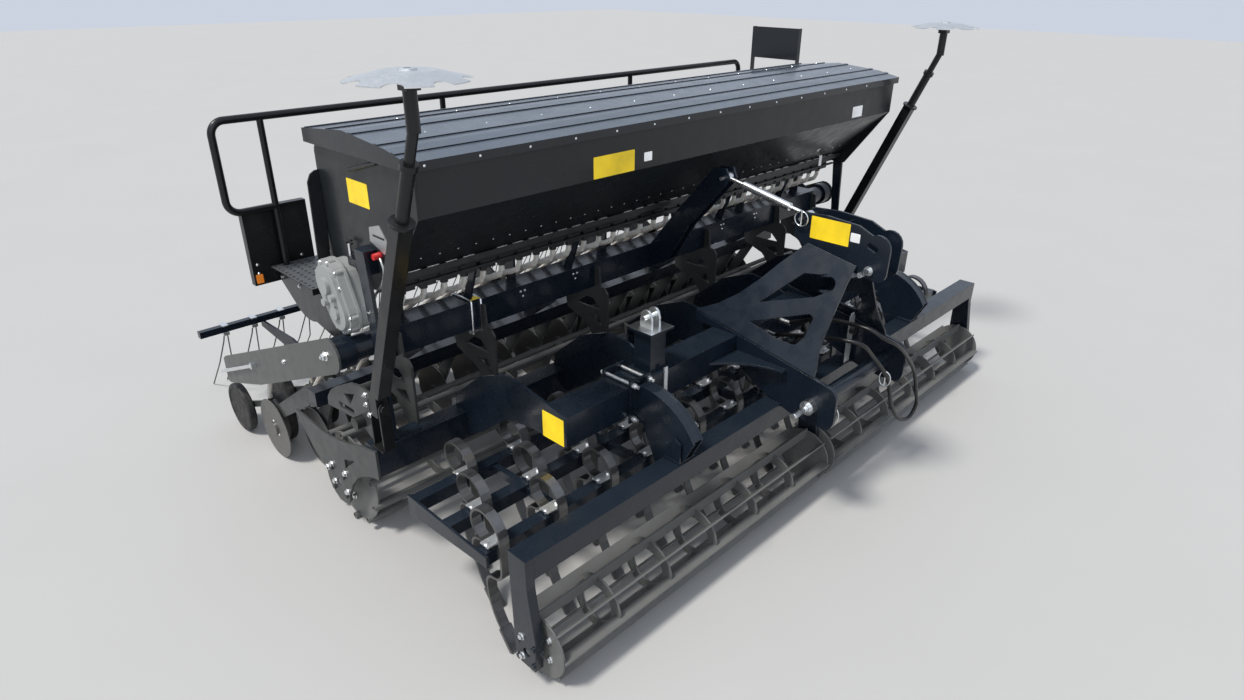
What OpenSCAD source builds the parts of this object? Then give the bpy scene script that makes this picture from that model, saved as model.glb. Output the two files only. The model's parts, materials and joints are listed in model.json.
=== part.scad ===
// Mounted cultivator and seed drill. X runs across the machine, Y towards the rear, Z up.
// Every outline below is drawn in hitch coordinates: distance behind the lower hitch pins, and height.

/* [Hitch] */
// Height of the lower hitch pins
low_pin_z = 660; // [640:5:700]
// Distance from the lower hitch pins up to the top link pin
mast_h = 610; // [590:5:630]
// Radius of the lower hitch pin's shank
low_pin_r = 14; // [11:0.5:18]
// Radius of the top link pin
top_pin_r = 12.5; // [10:0.5:16]
// Distance between the shoulders of the lower hitch pins
hitch_span = 825; // [800:5:860]
// Length of the lower pin's shank outside its shoulder
low_pin_l = 88; // [70:2:110]
// Thickness of the lower hitch arms
arm_t = 20; // [12:1:30]
// Distance between the outer faces of the lower hitch arms
arm_span = 710; // [680:5:730]
// Thickness of each mast plate
mast_t = 12; // [8:1:16]
// Distance between the inner faces of the mast plates
mast_gap = 100; // [80:5:120]
// Thickness of the slanted headstock cheeks
cheek_t = 10; // [6:1:14]

/* [Cultivator] */
// Length of the front beam between its legs
beam_l = 3850; // [3400:10:4200]
// Side of the front beam's square tube
beam_s = 100; // [80:5:110]
// Height of the front beam's top
beam_top = 607; // [590:1:640]
// Front face of the front beam behind the hitch pins
beam_y = 157; // [150:1:170]
// Thickness across the machine of each end leg
leg_t = 40; // [20:1:50]
// Length of the large cross box beam
box_l = 2960; // [2800:10:3100]
// Depth of the large cross box beam, front to rear
box_d = 150; // [130:5:160]
// Height of the large cross box beam
box_h = 140; // [120:5:150]
// Top of the large cross box beam
box_top = 875; // [860:1:890]
// Front face of the large cross box beam behind the hitch pins
box_y = 453; // [445:1:465]
// Side of the square tubes that carry the tines
tine_bar_s = 60; // [45:1:65]
// Height of the tine bars' top
tine_bar_top = 490; // [480:1:510]
// Distance between two rows of tines
tine_row_pitch = 235; // [225:1:245]
// Number of tines in each row
tine_count = 13; // [9:1:13]
// Width of a tine's flat bar
tine_w = 44; // [30:1:50]
// Thickness of a tine's flat bar
tine_t = 11; // [8:0.5:13]
// Mean radius of a tine's coil
coil_r = 72; // [64:1:80]

/* [Rollers] */
// Radius of the front roller
front_r = 158; // [140:1:165]
// Number of flat bars round the front roller
front_bars = 8; // [6:1:10]
// Width of the front roller's flat bars
front_bar_w = 50; // [35:1:60]
// Thickness of the front roller's flat bars
front_bar_t = 8; // [5:0.5:12]
// Radius of the rear tube roller
tube_roller_r = 250; // [230:1:255]
// Number of tubes round the rear roller
tube_count = 10; // [8:1:12]
// Outer radius of the tubes of the rear roller
tube_r = 16.5; // [12:0.5:20]
// Length of the rear tube roller
tube_roller_l = 3860; // [3400:10:3880]
// Radius of the stub shafts that carry the rollers
stub_r = 20; // [15:1:25]
// Radial running clearance of every shaft in its bearing
run_gap = 0.05; // [0.02:0.01:0.1]

/* [Drill] */
// Length of the drill's main beam
drill_beam_l = 3900; // [3600:10:3920]
// Side of the drill's main beam
drill_beam_s = 140; // [120:5:150]
// Number of seed rows
rows = 32; // [24:2:32]
// Distance between two seed rows
row_pitch = 125; // [110:1:125]
// Radius of the coulter discs
disc_r = 175; // [150:1:185]
// Thickness of the coulter discs
disc_t = 4; // [3:0.5:6]
// Radius of the press wheels
wheel_r = 150; // [120:1:160]
// Width of the press wheels
wheel_w = 45; // [30:1:50]
// Outer radius of the seed tubes
seed_tube_r = 17; // [12:0.5:20]

/* [Hopper] */
// Length of the hopper between its end panels
hopper_l = 3600; // [3400:10:3640]
// Thickness of the hopper's walls
wall_t = 6; // [3:0.5:10]
// Height of the hopper's rim
rim_z = 1850; // [1800:5:1880]
// Height of the lower edge of the upright front band
band_z = 1670; // [1640:5:1700]
// Thickness of the lid's sheet
lid_t = 5; // [3:0.5:8]

/* [Markers] */
// Side of the marker arm's square tube
marker_s = 60; // [50:1:70]
// Forward lean of the folded marker arms
marker_lean = 22.7; // [18:0.1:26]
// Radius of the marker discs
marker_disc_r = 200; // [170:1:210]

/* [Platform] */
// Depth of the rear platform's tread
tread_d = 430; // [380:5:440]
// Height of the rear platform's tread
tread_z = 1200; // [1180:5:1220]
// Thickness of the tread's sheet
tread_t = 4; // [3:0.5:6]
// Height of the handrail's middle
rail_z = 1900; // [1850:5:1950]
// Radius of the handrail's tube
rail_r = 17; // [14:0.5:20]

/* [Hidden] */
$fn = 48;

// Clearance where one piece seats on another
seat = 0.3;
// Clearance of a hinge pin's neighbours along the pin
hinge_gap = 1;
// Distance of the model's origin behind the lower hitch pins
origin_y = 1709.96;

// Colours
navy = [0.10, 0.13, 0.18];
anthracite = [0.16, 0.17, 0.19];
grey = [0.42, 0.43, 0.43];
steel = [0.55, 0.55, 0.54];
zinc = [0.78, 0.79, 0.76];
black = [0.05, 0.05, 0.06];
rubber = [0.07, 0.07, 0.07];
clear_plastic = [0.85, 0.84, 0.80];

// Places worked out from the sizes above
top_pin_z = low_pin_z + mast_h;
top_pin_y = -45;
front_axis_y = 179;
front_axis_z = front_r;
box_bottom = box_top - box_h;
box_rear = box_y + box_d;
tine_frame_y = 410;
// Distance between tines in one row: the rows end short of the front beam's ends
tine_pitch = (beam_l - 250) / (tine_count - 1);
roller_beam_y = 1163;
roller_beam_d = 100;
roller_beam_h = 140;
roller_beam_top = 615;
tube_axis_y = 1583;
tube_axis_z = tube_roller_r;
drill_beam_y = 1333;
drill_beam_z = 930;
drill_beam_rear = drill_beam_y + drill_beam_s;
drill_beam_top = drill_beam_z + drill_beam_s;
coulter_bar_y = 1790;
coulter_bar_z = 560;
coulter_bar_s = 80;
end_x = beam_l / 2 + leg_t;
hopper_front_y = 879;
hopper_rear_y = 1640;
funnel_front_y = 1235;
funnel_rear_y = 1395;
funnel_z = 1300;
tread_y = 1690;
ladder_x = 1922;
ladder_z = 1182;
ladder_y0 = tread_y + 10;
ladder_y1 = tread_y + tread_d - 20;
ladder_pin_r = 8;
rail_y = 2095;
marker_x = end_x - 40;
marker_y = 1164;
marker_z = 826;
marker_pin_r = 14;
fork_top = 26;
marker_disc_z = 2221;
strut_wall = [1330, 1786];
strut_lid = [1020, 1874];

// Points of an arc in a plane
function arc(c, r, a0, a1, n = 8) = [for (i = [0:n]) c + r * [cos(a0 + (a1 - a0) * i / n), sin(a0 + (a1 - a0) * i / n)]];

// Moves a shape from hitch coordinates to the model's origin
module place() {
    translate([0, -origin_y, 0]) children();
}

// A plate parallel to the machine's length: its outline holds points [distance behind pins, height]
module side_plate(x, t) {
    translate([x - t / 2, 0, 0]) rotate([90, 0, 90]) linear_extrude(t) children();
}

// A round bar along X from x0 to x1
module x_rod(x0, x1, y, z, r) {
    translate([x0, y, z]) rotate([0, 90, 0]) cylinder(h = x1 - x0, r = r);
}

// A round bar between two points
module rod(a, b, r) {
    d = b - a;
    len = norm(d);
    translate(a) rotate([0, acos(d[2] / len), atan2(d[1], d[0])]) cylinder(h = len, r = r);
}

// Both sides of the machine
module both() {
    children();
    mirror([1, 0, 0]) children();
}

// Hitch

// The lower arms' top edge rises towards the rear, and the cheeks stand on it
arm_rise = 0.19;
function arm_top(y) = low_pin_z + 137 + arm_rise * y;

// Radius of the lower arms' rounded nose
nose_r = 65;
module lower_arms() {
    color(navy) both() side_plate(arm_span / 2 - arm_t / 2, arm_t) difference() {
        polygon(concat(
            arc([-60, arm_top(-60) - nose_r / cos(atan(arm_rise))], nose_r, 180, 90 + atan(arm_rise)),
            [[box_rear + 110, arm_top(box_rear + 110)], [box_rear + 110, 880 + seat],
            [box_rear + 60, box_top + seat], [box_y - seat, box_top + seat], [box_y - seat, box_bottom],
            [300, 640], [beam_y + 45, beam_top + seat], [beam_y - seat, beam_top + seat], [beam_y - seat, 590],
            [110, 575], [-10, 560]],
            arc([-60, 620], nose_r, 240, 180, 4)));
        translate([0, low_pin_z]) circle(r = low_pin_r + 6);
    }
    // Crescent gussets between the arms and the front of the box beam
    inner = arm_span / 2 - 2;
    color(navy) both() translate([0, 0, 784]) linear_extrude(12) polygon(concat([[inner, box_y - seat], [inner, 149]],
        [for (p = arc([760, 135], 370, 177.7, 121.4)) p], [[566, box_y - seat]]));
    // Round cross tube between the arms, with pockets for the inner ends of the pins
    tube_half = arm_span / 2 - arm_t + 1;
    color(navy) difference() {
        x_rod(-tube_half, tube_half, 0, low_pin_z, 38);
        both() x_rod(tube_half - 16, tube_half + 1, 0, low_pin_z, low_pin_r + 6.3);
    }
}

module lower_pins() {
    shoulder = hitch_span / 2;
    color(zinc) both() {
        x_rod(arm_span / 2 - arm_t - 12, arm_span / 2, 0, low_pin_z, low_pin_r + 6 - run_gap);
        x_rod(arm_span / 2, shoulder - 18, 0, low_pin_z, 36);
        x_rod(shoulder - 18, shoulder, 0, low_pin_z, 24);
        x_rod(shoulder, shoulder + low_pin_l, 0, low_pin_z, low_pin_r);
        x_rod(shoulder + low_pin_l, shoulder + low_pin_l + 8, 0, low_pin_z, low_pin_r - 3);
    }
}

// Slanted cheek between a lower arm and the mast, with its two cut-outs.
// Its outline is drawn as [distance along the arm's top edge, distance up the slope].
cheek_slope = 58.8;
cheek_x = arm_span / 2 - arm_t / 2;
cheek_w = (cheek_x - mast_gap / 2 - mast_t - seat) / cos(cheek_slope);

module cheek_outline() {
    difference() {
        polygon([[6, 0.4], [14, 36], [44, 110], [62, 177], [84, 327], [101, 460], [104, cheek_w], [376, cheek_w],
            [410, 480], [456, 390], [500, 290], [562, 177], [640, 80], [733, 0.4]]);
        polygon(concat([[442, 186], [313, 409]], arc([200, 412], 42, 40, 100, 3), arc([186, 410], 42, 120, 200, 4), [[206, 331]]));
        polygon(concat([[437, 80], [185, 250]], arc([172, 232], 16, 80, 180, 3), [[148, 144]], arc([190, 114], 30, 190, 260, 3),
            [[261, 73]]));
    }
}

module cheeks() {
    color(navy) both() translate([-cheek_x, 0, arm_top(0)]) rotate([atan(arm_rise), 0, 0])
        rotate([0, -cheek_slope, 0]) rotate([0, 0, 90]) mirror([0, 1, 0]) linear_extrude(cheek_t) cheek_outline();
}

module mast_outline() {
    difference() {
        polygon(concat([[368, 1345], [368, 1440]], arc([335, 1436], 33, 10, 90, 3), [[200, 1478], [33, 1465]],
            arc([-70, 1380], 62, 60, 180, 6), arc([-80, 1270], 50, 190, 290, 5), [[286, 1290]]));
        translate([top_pin_y, top_pin_z]) circle(r = top_pin_r + run_gap);
        translate([335, 1437]) circle(r = 10 + run_gap);
        hull() {
            translate([-60, 1372]) circle(r = 13);
            translate([-30, 1384]) circle(r = 13);
        }
    }
}

module mast() {
    color(navy) {
        both() side_plate(mast_gap / 2 + mast_t / 2, mast_t) mast_outline();
        translate([-mast_gap / 2, 120, 1300]) cube([mast_gap, 12, 150]);
    }
}

module top_link_pin() {
    outer = mast_gap / 2 + mast_t;
    color(zinc) {
        x_rod(-outer - 90, outer + 12, top_pin_y, top_pin_z, top_pin_r);
        x_rod(-outer - 8, -outer - 1, top_pin_y, top_pin_z, top_pin_r + 10);
        x_rod(outer + 2, outer + 12, top_pin_y, top_pin_z, top_pin_r + 10);
    }
}

module turnbuckle() {
    a = [0, 335, 1437];
    b = [0, 833, 1540];
    u = (b - a) / norm(b - a);
    color(zinc) {
        rod(a + 24 * u, b - 24 * u, 11);
        rod(a + 110 * u, b - 110 * u, 20);
        for (p = [a, b]) difference() {
            x_rod(-18, 18, p[1], p[2], 26);
            x_rod(-19, 19, p[1], p[2], 10 + run_gap);
        }
        x_rod(-mast_gap / 2 - mast_t - 14, mast_gap / 2 + mast_t + 14, a[1], a[2], 10);
        x_rod(-60, 60, b[1], b[2], 10);
    }
}

// Cultivator frame

module box_beam() {
    color(navy) difference() {
        translate([-box_l / 2, box_y, box_bottom]) cube([box_l, box_d, box_h]);
        translate([-box_l / 2 + 200, box_y + 8, box_bottom + 8]) cube([box_l - 400, box_d - 16, box_h - 16]);
    }
}

clamp_x = 1065;
clamp_half = 66;
clamp_bolt_x = 48;
clamp_bolt_r = 8;
clamp_t = 12;
module beam_clamps() {
    front = box_y - clamp_t - 2 * seat;
    rear = box_rear + clamp_t + 2 * seat;
    color(zinc) both() for (x = [clamp_x - clamp_bolt_x, clamp_x + clamp_bolt_x], z = [box_bottom - 12, box_top + 12]) {
        translate([x, front - 30, z]) rotate([-90, 0, 0]) cylinder(h = rear - front + 50, r = clamp_bolt_r);
        translate([x, front - 14, z]) rotate([-90, 0, 0]) cylinder(h = 14, r = 13, $fn = 6);
        translate([x, rear, z]) rotate([-90, 0, 0]) cylinder(h = 14, r = 13, $fn = 6);
    }
}

// Box-section arms from the clamps down to the front beam, with a bent cover between their two plates
module front_arms() {
    top = beam_top + seat;
    rear = beam_y + beam_s + seat;
    module arm_outline() {
        polygon(concat([[box_y - clamp_t, box_bottom - 30], [box_y - clamp_t, box_top + 30], [box_y - 30, box_top + 30]],
            arc([box_y - 60, 560], 330, 82, 150, 8),
            [[beam_y + 10, top], [rear, top], [rear, beam_top - 90], [rear + 60, beam_top - 60],
            [box_y - 60, box_bottom - 30]]));
    }
    half = 27;
    color(navy) both() {
        for (x = [clamp_x - half, clamp_x + half]) side_plate(x, 12) arm_outline();
        translate([clamp_x - half + 5, 0, 0]) rotate([90, 0, 90]) linear_extrude(2 * half - 10)
            polygon(strip(arc([box_y - 60, 560], 324, 84, 149, 8), 4));
        for (y = [box_y - clamp_t - seat, box_rear + seat]) difference() {
            translate([clamp_x - clamp_half, y, box_bottom - 34]) cube([2 * clamp_half, clamp_t, box_h + 68]);
            for (x = [clamp_x - clamp_bolt_x, clamp_x + clamp_bolt_x], z = [box_bottom - 12, box_top + 12])
                translate([x, y - 1, z]) rotate([-90, 0, 0]) cylinder(h = clamp_t + 2, r = clamp_bolt_r + seat);
        }
        // Foot on the front beam, with an outer gusset
        translate([clamp_x - 50, beam_y + 6, top]) cube([100, beam_s - 12, 10]);
        translate([clamp_x - half + 5, rear + 8, beam_top - 80]) cube([2 * half - 10, 12, 90]);
        side_plate(clamp_x + 44, 8) polygon([[beam_y + 8, top + 8], [beam_y + 8, top + 100], [beam_y + 40, top + 118], [rear - 14, top + 8]]);
    }
}

// Square tube in front, which carries the tine frame's front and the front roller
module front_beam() {
    color(anthracite) difference() {
        translate([-beam_l / 2, beam_y, beam_top - beam_s]) cube([beam_l, beam_s, beam_s]);
        translate([-beam_l / 2 + 150, beam_y + 6, beam_top - beam_s + 6]) cube([beam_l - 300, beam_s - 12, beam_s - 12]);
    }
}

// Outline of an end leg: from the front beam down to the roller's bearing
module leg_outline() {
    difference() {
        polygon([[beam_y, beam_top], [beam_y + beam_s, beam_top], [246, 130], [215, 88], [132, 88],
            [122, 235], [beam_y, beam_top - beam_s - 30]]);
        translate([front_axis_y, front_axis_z]) circle(r = stub_r + run_gap);
    }
}

module front_legs() {
    color(anthracite) {
        both() side_plate(end_x - leg_t / 2, leg_t) leg_outline();
        side_plate(0, 30) difference() {
            polygon([[beam_y, beam_top - beam_s - seat], [beam_y + beam_s, beam_top - beam_s - seat],
                [235, 120], [215, 100], [143, 100], [130, 235]]);
            translate([front_axis_y, front_axis_z]) circle(r = stub_r + run_gap);
        }
    }
    color(zinc) both() for (y = [-42, 42], z = [-42, 42])
        x_rod(end_x - 2, end_x + 10, front_axis_y + y, front_axis_z + z, 12);
}

// Arched plates from the box beam back to the roller beam
module link_outline(front) {
    rb = roller_beam_y - seat;
    top = roller_beam_top + seat;
    polygon(concat([[front, box_bottom], [front, box_top]], [[700, 918]], arc([830, 850], 80, 90, 60, 3),
        [[1040, 850], [roller_beam_y + roller_beam_d - 20, 680], [roller_beam_y + roller_beam_d - 10, top],
        [rb, top], [rb, roller_beam_top - roller_beam_h + 10], [1040, 560], [860, 700], [700, box_bottom]]));
}

// Post on the box beam with the zinc clevis on its top plate
post_x = -915;
post_s = 100;
post_top = 1080;
module post() {
    y = (box_y + box_rear) / 2;
    color(navy) {
        translate([post_x - post_s / 2, y - post_s / 2, box_top + seat]) cube([post_s, post_s, post_top - 12 - box_top - seat]);
        translate([post_x - 75, y - 75, post_top - 12]) cube([150, 150, 12]);
    }
    color(zinc) {
        for (x = [post_x - 30, post_x + 20]) side_plate(x + 5, 10) polygon(concat([[y - 35, post_top], [y - 35, post_top + 40]],
            arc([y, post_top + 55], 30, 150, 30, 6), [[y + 35, post_top + 40], [y + 35, post_top]]));
        x_rod(post_x - 48, post_x + 48, y, post_top + 50, 10);
    }
}

module link_arms() {
    color(navy) both() {
        side_plate(box_l / 2 + seat + 6, 12) link_outline(box_y);
        side_plate(860, 12) link_outline(box_rear + seat);
        side_plate(300, 12) link_outline(box_rear + seat);
    }
}

// Tine frame

function tine_bar_y(row) = tine_frame_y + row * tine_row_pitch;

module tine_frame() {
    rear = tine_bar_y(2) + tine_bar_s;
    plate_x = end_x - 6;
    color(navy) {
        for (row = [0:2]) translate([-plate_x + 6, tine_bar_y(row), tine_bar_top - tine_bar_s])
            cube([2 * plate_x - 12, tine_bar_s, tine_bar_s]);
        both() {
            side_plate(plate_x, 12) polygon([[tine_frame_y - 12, tine_bar_top - 58], [tine_frame_y - 12, tine_bar_top - 8],
                [rear + 5, tine_bar_top + 4], [rear + 5, tine_bar_top - 90]]);
            for (x = [250, 1050, 1550], row = [0, 1])
                translate([x - 15, tine_bar_y(row) + tine_bar_s, tine_bar_top - 50])
                    cube([30, tine_row_pitch - tine_bar_s, 40]);
            // Hangers up to the box beam
            translate([690, tine_bar_y(1), tine_bar_top]) cube([20, 60, 120]);
            side_plate(700, 20) polygon([[box_y + 20, box_bottom - seat], [box_rear, box_bottom - seat],
                [tine_bar_y(1) + tine_bar_s, tine_bar_top + 60], [tine_bar_y(1) + tine_bar_s, tine_bar_top],
                [tine_bar_y(1), tine_bar_top], [tine_bar_y(1) - 40, tine_bar_top + 120]]);
        }
    }
}

// Outline of a strip of half thickness h along a path
function strip_dir(p, i) = let(v = p[min(i + 1, len(p) - 1)] - p[max(i - 1, 0)]) v / norm(v);
function strip(p, h) = concat([for (i = [0:len(p) - 1]) p[i] + h * [-strip_dir(p, i)[1], strip_dir(p, i)[0]]],
    [for (i = [len(p) - 1:-1:0]) p[i] - h * [-strip_dir(p, i)[1], strip_dir(p, i)[0]]]);
// Points of an arc without its first one, to follow a point already in a path
function arc_on(c, r, a0, a1, n = 6) = [for (i = [1:n]) c + r * [cos(a0 + (a1 - a0) * i / n), sin(a0 + (a1 - a0) * i / n)]];

// One spring tine's middle line, with its clamp at the origin on the bar's top.
// The flat bar coils up and over the bar, passes in front of it and curves down to the ground.
tine_seat_y = tine_t / 2;
tine_coil = [tine_bar_s / 2 + 3, tine_seat_y + coil_r];
tine_over_r = 106;
tine_front_x = tine_coil[0] - tine_over_r;
tine_bend_r = 52;
tine_low_y = -tine_bar_s - 34;
tine_leg_r = 330;
tine_leg_a = 38;
tine_leg_c = [tine_front_x + 2 * tine_bend_r - tine_leg_r, tine_low_y - 2 * tine_bend_r];
tine_end = tine_leg_c + tine_leg_r * [cos(tine_leg_a), -sin(tine_leg_a)];
tine_way = [-sin(tine_leg_a), -cos(tine_leg_a)];
tine_tip = tine_end + (tine_bar_top + tine_end[1] - 8) / cos(tine_leg_a) * tine_way;
tine_line = concat([[-tine_bar_s / 2 + 6, tine_seat_y], [tine_coil[0], tine_seat_y]],
    arc_on(tine_coil, coil_r, -90, 90, 12), arc_on([tine_coil[0], tine_coil[1] + coil_r - tine_over_r], tine_over_r, 90, 180),
    [[tine_front_x, tine_low_y]], arc_on([tine_front_x + tine_bend_r, tine_low_y], tine_bend_r, 180, 270, 4),
    arc_on([tine_front_x + tine_bend_r, tine_low_y - 2 * tine_bend_r], tine_bend_r, 90, 0, 4),
    arc_on(tine_leg_c, tine_leg_r, 0, -tine_leg_a), [tine_tip]);

module tine() {
    translate([0, 0, -tine_w / 2]) linear_extrude(tine_w) polygon(strip(tine_line, tine_t / 2));
    translate([0, 0, -tine_w / 2 - 5]) linear_extrude(tine_w + 10) polygon(strip([tine_end, tine_tip + 3 * tine_way], tine_t / 2 + 3));
}

module tine_row(row) {
    shift = (row - 1) * tine_pitch / 3;
    color(steel) for (i = [0:tine_count - 1])
        translate([(i - (tine_count - 1) / 2) * tine_pitch + shift, tine_bar_y(row) + tine_bar_s / 2, tine_bar_top + seat])
            rotate([90, 0, 90]) tine();
}

module tines_front() { tine_row(0); }
module tines_middle() { tine_row(1); }
module tines_rear() { tine_row(2); }

// Zinc clamp plates and bolts over each tine's seat
module tine_clamps() {
    plate_z = tine_bar_top + tine_t + 2 * seat;
    color(zinc) for (row = [0:2], i = [0:tine_count - 1]) {
        x = (i - (tine_count - 1) / 2) * tine_pitch + (row - 1) * tine_pitch / 3;
        y = tine_bar_y(row);
        translate([x - tine_w / 2 - 19, y + 4, plate_z]) cube([tine_w + 38, tine_bar_s - 8, 6]);
        for (s = [-1, 1]) translate([x + s * (tine_w / 2 + 8), y + tine_bar_s / 2, 0]) {
            translate([0, 0, tine_bar_top]) cylinder(h = plate_z - tine_bar_top, r = 6);
            translate([0, 0, plate_z + 6]) cylinder(h = 9, r = 9, $fn = 6);
        }
    }
}

// Rollers

// One half of the front roller, from x0 to x1: flat bars on ring plates, with a stub shaft at each end
module front_roller(x0, x1, stub0, stub1) {
    inner = front_r - front_bar_w;
    rings = 6;
    translate([0, front_axis_y, front_axis_z]) {
        color(grey) for (i = [0:front_bars - 1]) rotate([i * 360 / front_bars, 0, 0])
            translate([x0 + 2, -front_bar_t / 2, inner]) cube([x1 - x0 - 4, front_bar_t, front_bar_w]);
        color(grey) for (i = [0:rings]) {
            x = x0 + (x1 - x0 - 8) * i / rings;
            is_end = i == 0 || i == rings;
            translate([x, 0, 0]) rotate([0, 90, 0]) difference() {
                cylinder(h = 8, r = front_r - (is_end ? 12 : 22));
                if (!is_end) translate([0, 0, -1]) cylinder(h = 10, r = inner - 22);
            }
        }
        color(steel) {
            x_rod(stub0, x0 + 5, 0, 0, stub_r);
            x_rod(x1 - 5, stub1, 0, 0, stub_r);
        }
    }
}

roller_in = 30;
roller_out = beam_l / 2 - 20;
module front_roller_right() { front_roller(-roller_out, -roller_in, -end_x + 10, -1); }
module front_roller_left() { front_roller(roller_in, roller_out, 1, end_x - 10); }

module roller_beam() {
    color(navy) difference() {
        translate([-end_x, roller_beam_y, roller_beam_top - roller_beam_h]) cube([2 * end_x, roller_beam_d, roller_beam_h]);
        translate([-end_x + 150, roller_beam_y + 6, roller_beam_top - roller_beam_h + 6])
            cube([2 * end_x - 300, roller_beam_d - 12, roller_beam_h - 12]);
    }
}

module roller_end_plates() {
    hub = [tube_axis_y, tube_axis_z];
    color(grey) both() side_plate(end_x + seat + 6, 12) difference() {
        polygon(concat([[roller_beam_y - 4, roller_beam_top - 150], [roller_beam_y - 4, roller_beam_top - 2], [1312, 578],
            [1400, 545], [1496, 520], [1580, 503], [1667, 496], [1856, 502], [1960, 500], [1968, 486], [1801, 320]],
            arc(hub, 118, 10, -120, 8), [[1496, 180], [1490, 215], [1440, 300], [1370, 375], [1295, 420], [1225, 450]]));
        polygon([[1378, 462], [1484, 424], [1486, 372]]);
        translate(hub) circle(r = stub_r + run_gap);
    }
    color(zinc) both() for (y = [-58, 58], z = [-55, 55])
        x_rod(end_x + 10 + seat, end_x + 22, hub[0] + y, hub[1] + z, 13);
}

module tube_roller() {
    half = tube_roller_l / 2;
    tube_c = tube_roller_r - tube_r;
    rings = 8;
    ring_in = 22;
    translate([0, tube_axis_y, tube_axis_z]) {
        color(grey) for (i = [0:tube_count - 1]) rotate([i * 360 / tube_count, 0, 0]) difference() {
            x_rod(-half, half, 0, tube_c, tube_r);
            for (s = [-1, 1]) x_rod(s * half - 16, s * half + 16, 0, tube_c, tube_r - 3.5);
        }
        color(grey) for (i = [0:rings]) {
            x = -half + ring_in + (2 * half - 2 * ring_in - 8) * i / rings;
            is_end = i == 0 || i == rings;
            difference() {
                x_rod(x, x + 8, 0, 0, tube_c);
                if (!is_end) x_rod(x - 1, x + 9, 0, 0, tube_c - 55);
                for (j = [0:tube_count - 1]) rotate([j * 360 / tube_count, 0, 0])
                    x_rod(x - 1, x + 9, 0, tube_c, tube_r - 1);
            }
        }
        color(steel) both() x_rod(half - ring_in - 5, end_x + 8, 0, 0, stub_r);
    }
}

// Seed drill frame

// Brackets that stand on the roller beam and carry the drill's main beam
bracket_y = 1232;
module bracket_outline() {
    low = roller_beam_top + seat;
    rear = roller_beam_y + roller_beam_d + seat;
    front = drill_beam_y - seat;
    difference() {
        polygon([[bracket_y, low], [bracket_y, 905], [bracket_y + 22, 930], [front - 45, 935],
            [front - 35, drill_beam_top - 20], [front, drill_beam_top - 20], [front, drill_beam_z - seat],
            [drill_beam_rear - 10, drill_beam_z - seat], [1570, 800], [1560, 745], [1400, 690], [1300, 560], [rear, 540], [rear, low]]);
        polygon([[1285, 800], [1345, 855], [1405, 855], [1480, 795]]);
        polygon([[1265, 690], [1300, 765], [1390, 740]]);
    }
}

module drill_brackets() {
    color(navy) both() for (x = [drill_beam_l / 2 - 240, 1250, 480]) side_plate(x, 12) bracket_outline();
    // Arched outer plates behind the markers' feet, held by a short tube
    color(grey) both() {
        side_plate(marker_x, 12) difference() {
            polygon([[marker_y + 46 + seat, roller_beam_top + seat], [marker_y + 46 + seat, 796], [1232, 800], [1232, 862],
                [1310, 866], [1400, 846],
                [1480, 806], [1560, 765], [1613, 728], [1654, 679], [1662, 632], [1600, 640], [1520, 650],
                [1430, 660], [1370, 660], [1300, 640], [roller_beam_y + roller_beam_d, roller_beam_top + seat]]);
            polygon([[1370, 800], [1475, 765], [1425, 725]]);
            polygon([[1400, 708], [1545, 700], [1530, 672], [1400, 680]]);
        }
        x_rod(drill_beam_l / 2 - 236, marker_x - 4, 1585, 690, 22);
    }
}

// Tall flat posts from the roller beam up to the hopper's ends
side_post_x = hopper_l / 2 + 60;
module side_posts() {
    low = roller_beam_top + seat;
    color(navy) both() {
        side_plate(side_post_x, 16) polygon([[roller_beam_y + 10, low], [roller_beam_y + 50, low], [bracket_y + 40, 1270],
            [bracket_y + 70, 1480], [bracket_y - 10, 1480], [bracket_y - 30, 1270]]);
        translate([hopper_l / 2 + 10 + 2 * seat, bracket_y - 10, 1380]) cube([side_post_x - 7 - hopper_l / 2 - 10 - 2 * seat, 80, 100]);
    }
}

// Radius of the drill beam's round ends
round_end_r = 56;
// Distance between two seed outlets under the hopper
outlet_pitch = (hopper_l - 240) / (rows - 1);
// Points just under the hopper's sloping rear wall, from its lower edge (0) to its upper edge (1)
function rear_wall(t) = [funnel_rear_y + t * (hopper_rear_y - funnel_rear_y) + seat, funnel_z + 30 + t * 220 - seat];

module drill_beam() {
    square_half = drill_beam_l / 2 - 200;
    color(navy) {
        difference() {
            translate([-square_half, drill_beam_y, drill_beam_z]) cube([2 * square_half, drill_beam_s, drill_beam_s]);
            translate([-square_half + 10, drill_beam_y + 6, drill_beam_z + 6])
                cube([2 * square_half - 20, drill_beam_s - 12, drill_beam_s - 12]);
        }
        both() x_rod(square_half - 4, drill_beam_l / 2, drill_beam_y + drill_beam_s / 2, drill_beam_z + drill_beam_s / 2, round_end_r);
        // Ribs that carry the hopper's sloping rear wall
        both() for (i = [3, 9, 15]) side_plate(i * outlet_pitch, 12) polygon([[drill_beam_y + 75, drill_beam_top],
            [drill_beam_rear - 5, drill_beam_top], rear_wall(0.7), rear_wall(0.04), [funnel_rear_y + 5, funnel_z]]);
        // Leaning stays in front of the seed tubes, up to the hopper's floor
        both() for (i = [6, 12]) side_plate(i * outlet_pitch, 12) polygon([[drill_beam_y + 8, drill_beam_top - 1],
            [drill_beam_y + 64, drill_beam_top - 1], [funnel_front_y + 56, funnel_z - seat], [funnel_front_y + 20, funnel_z - seat]]);
    }
}

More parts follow.
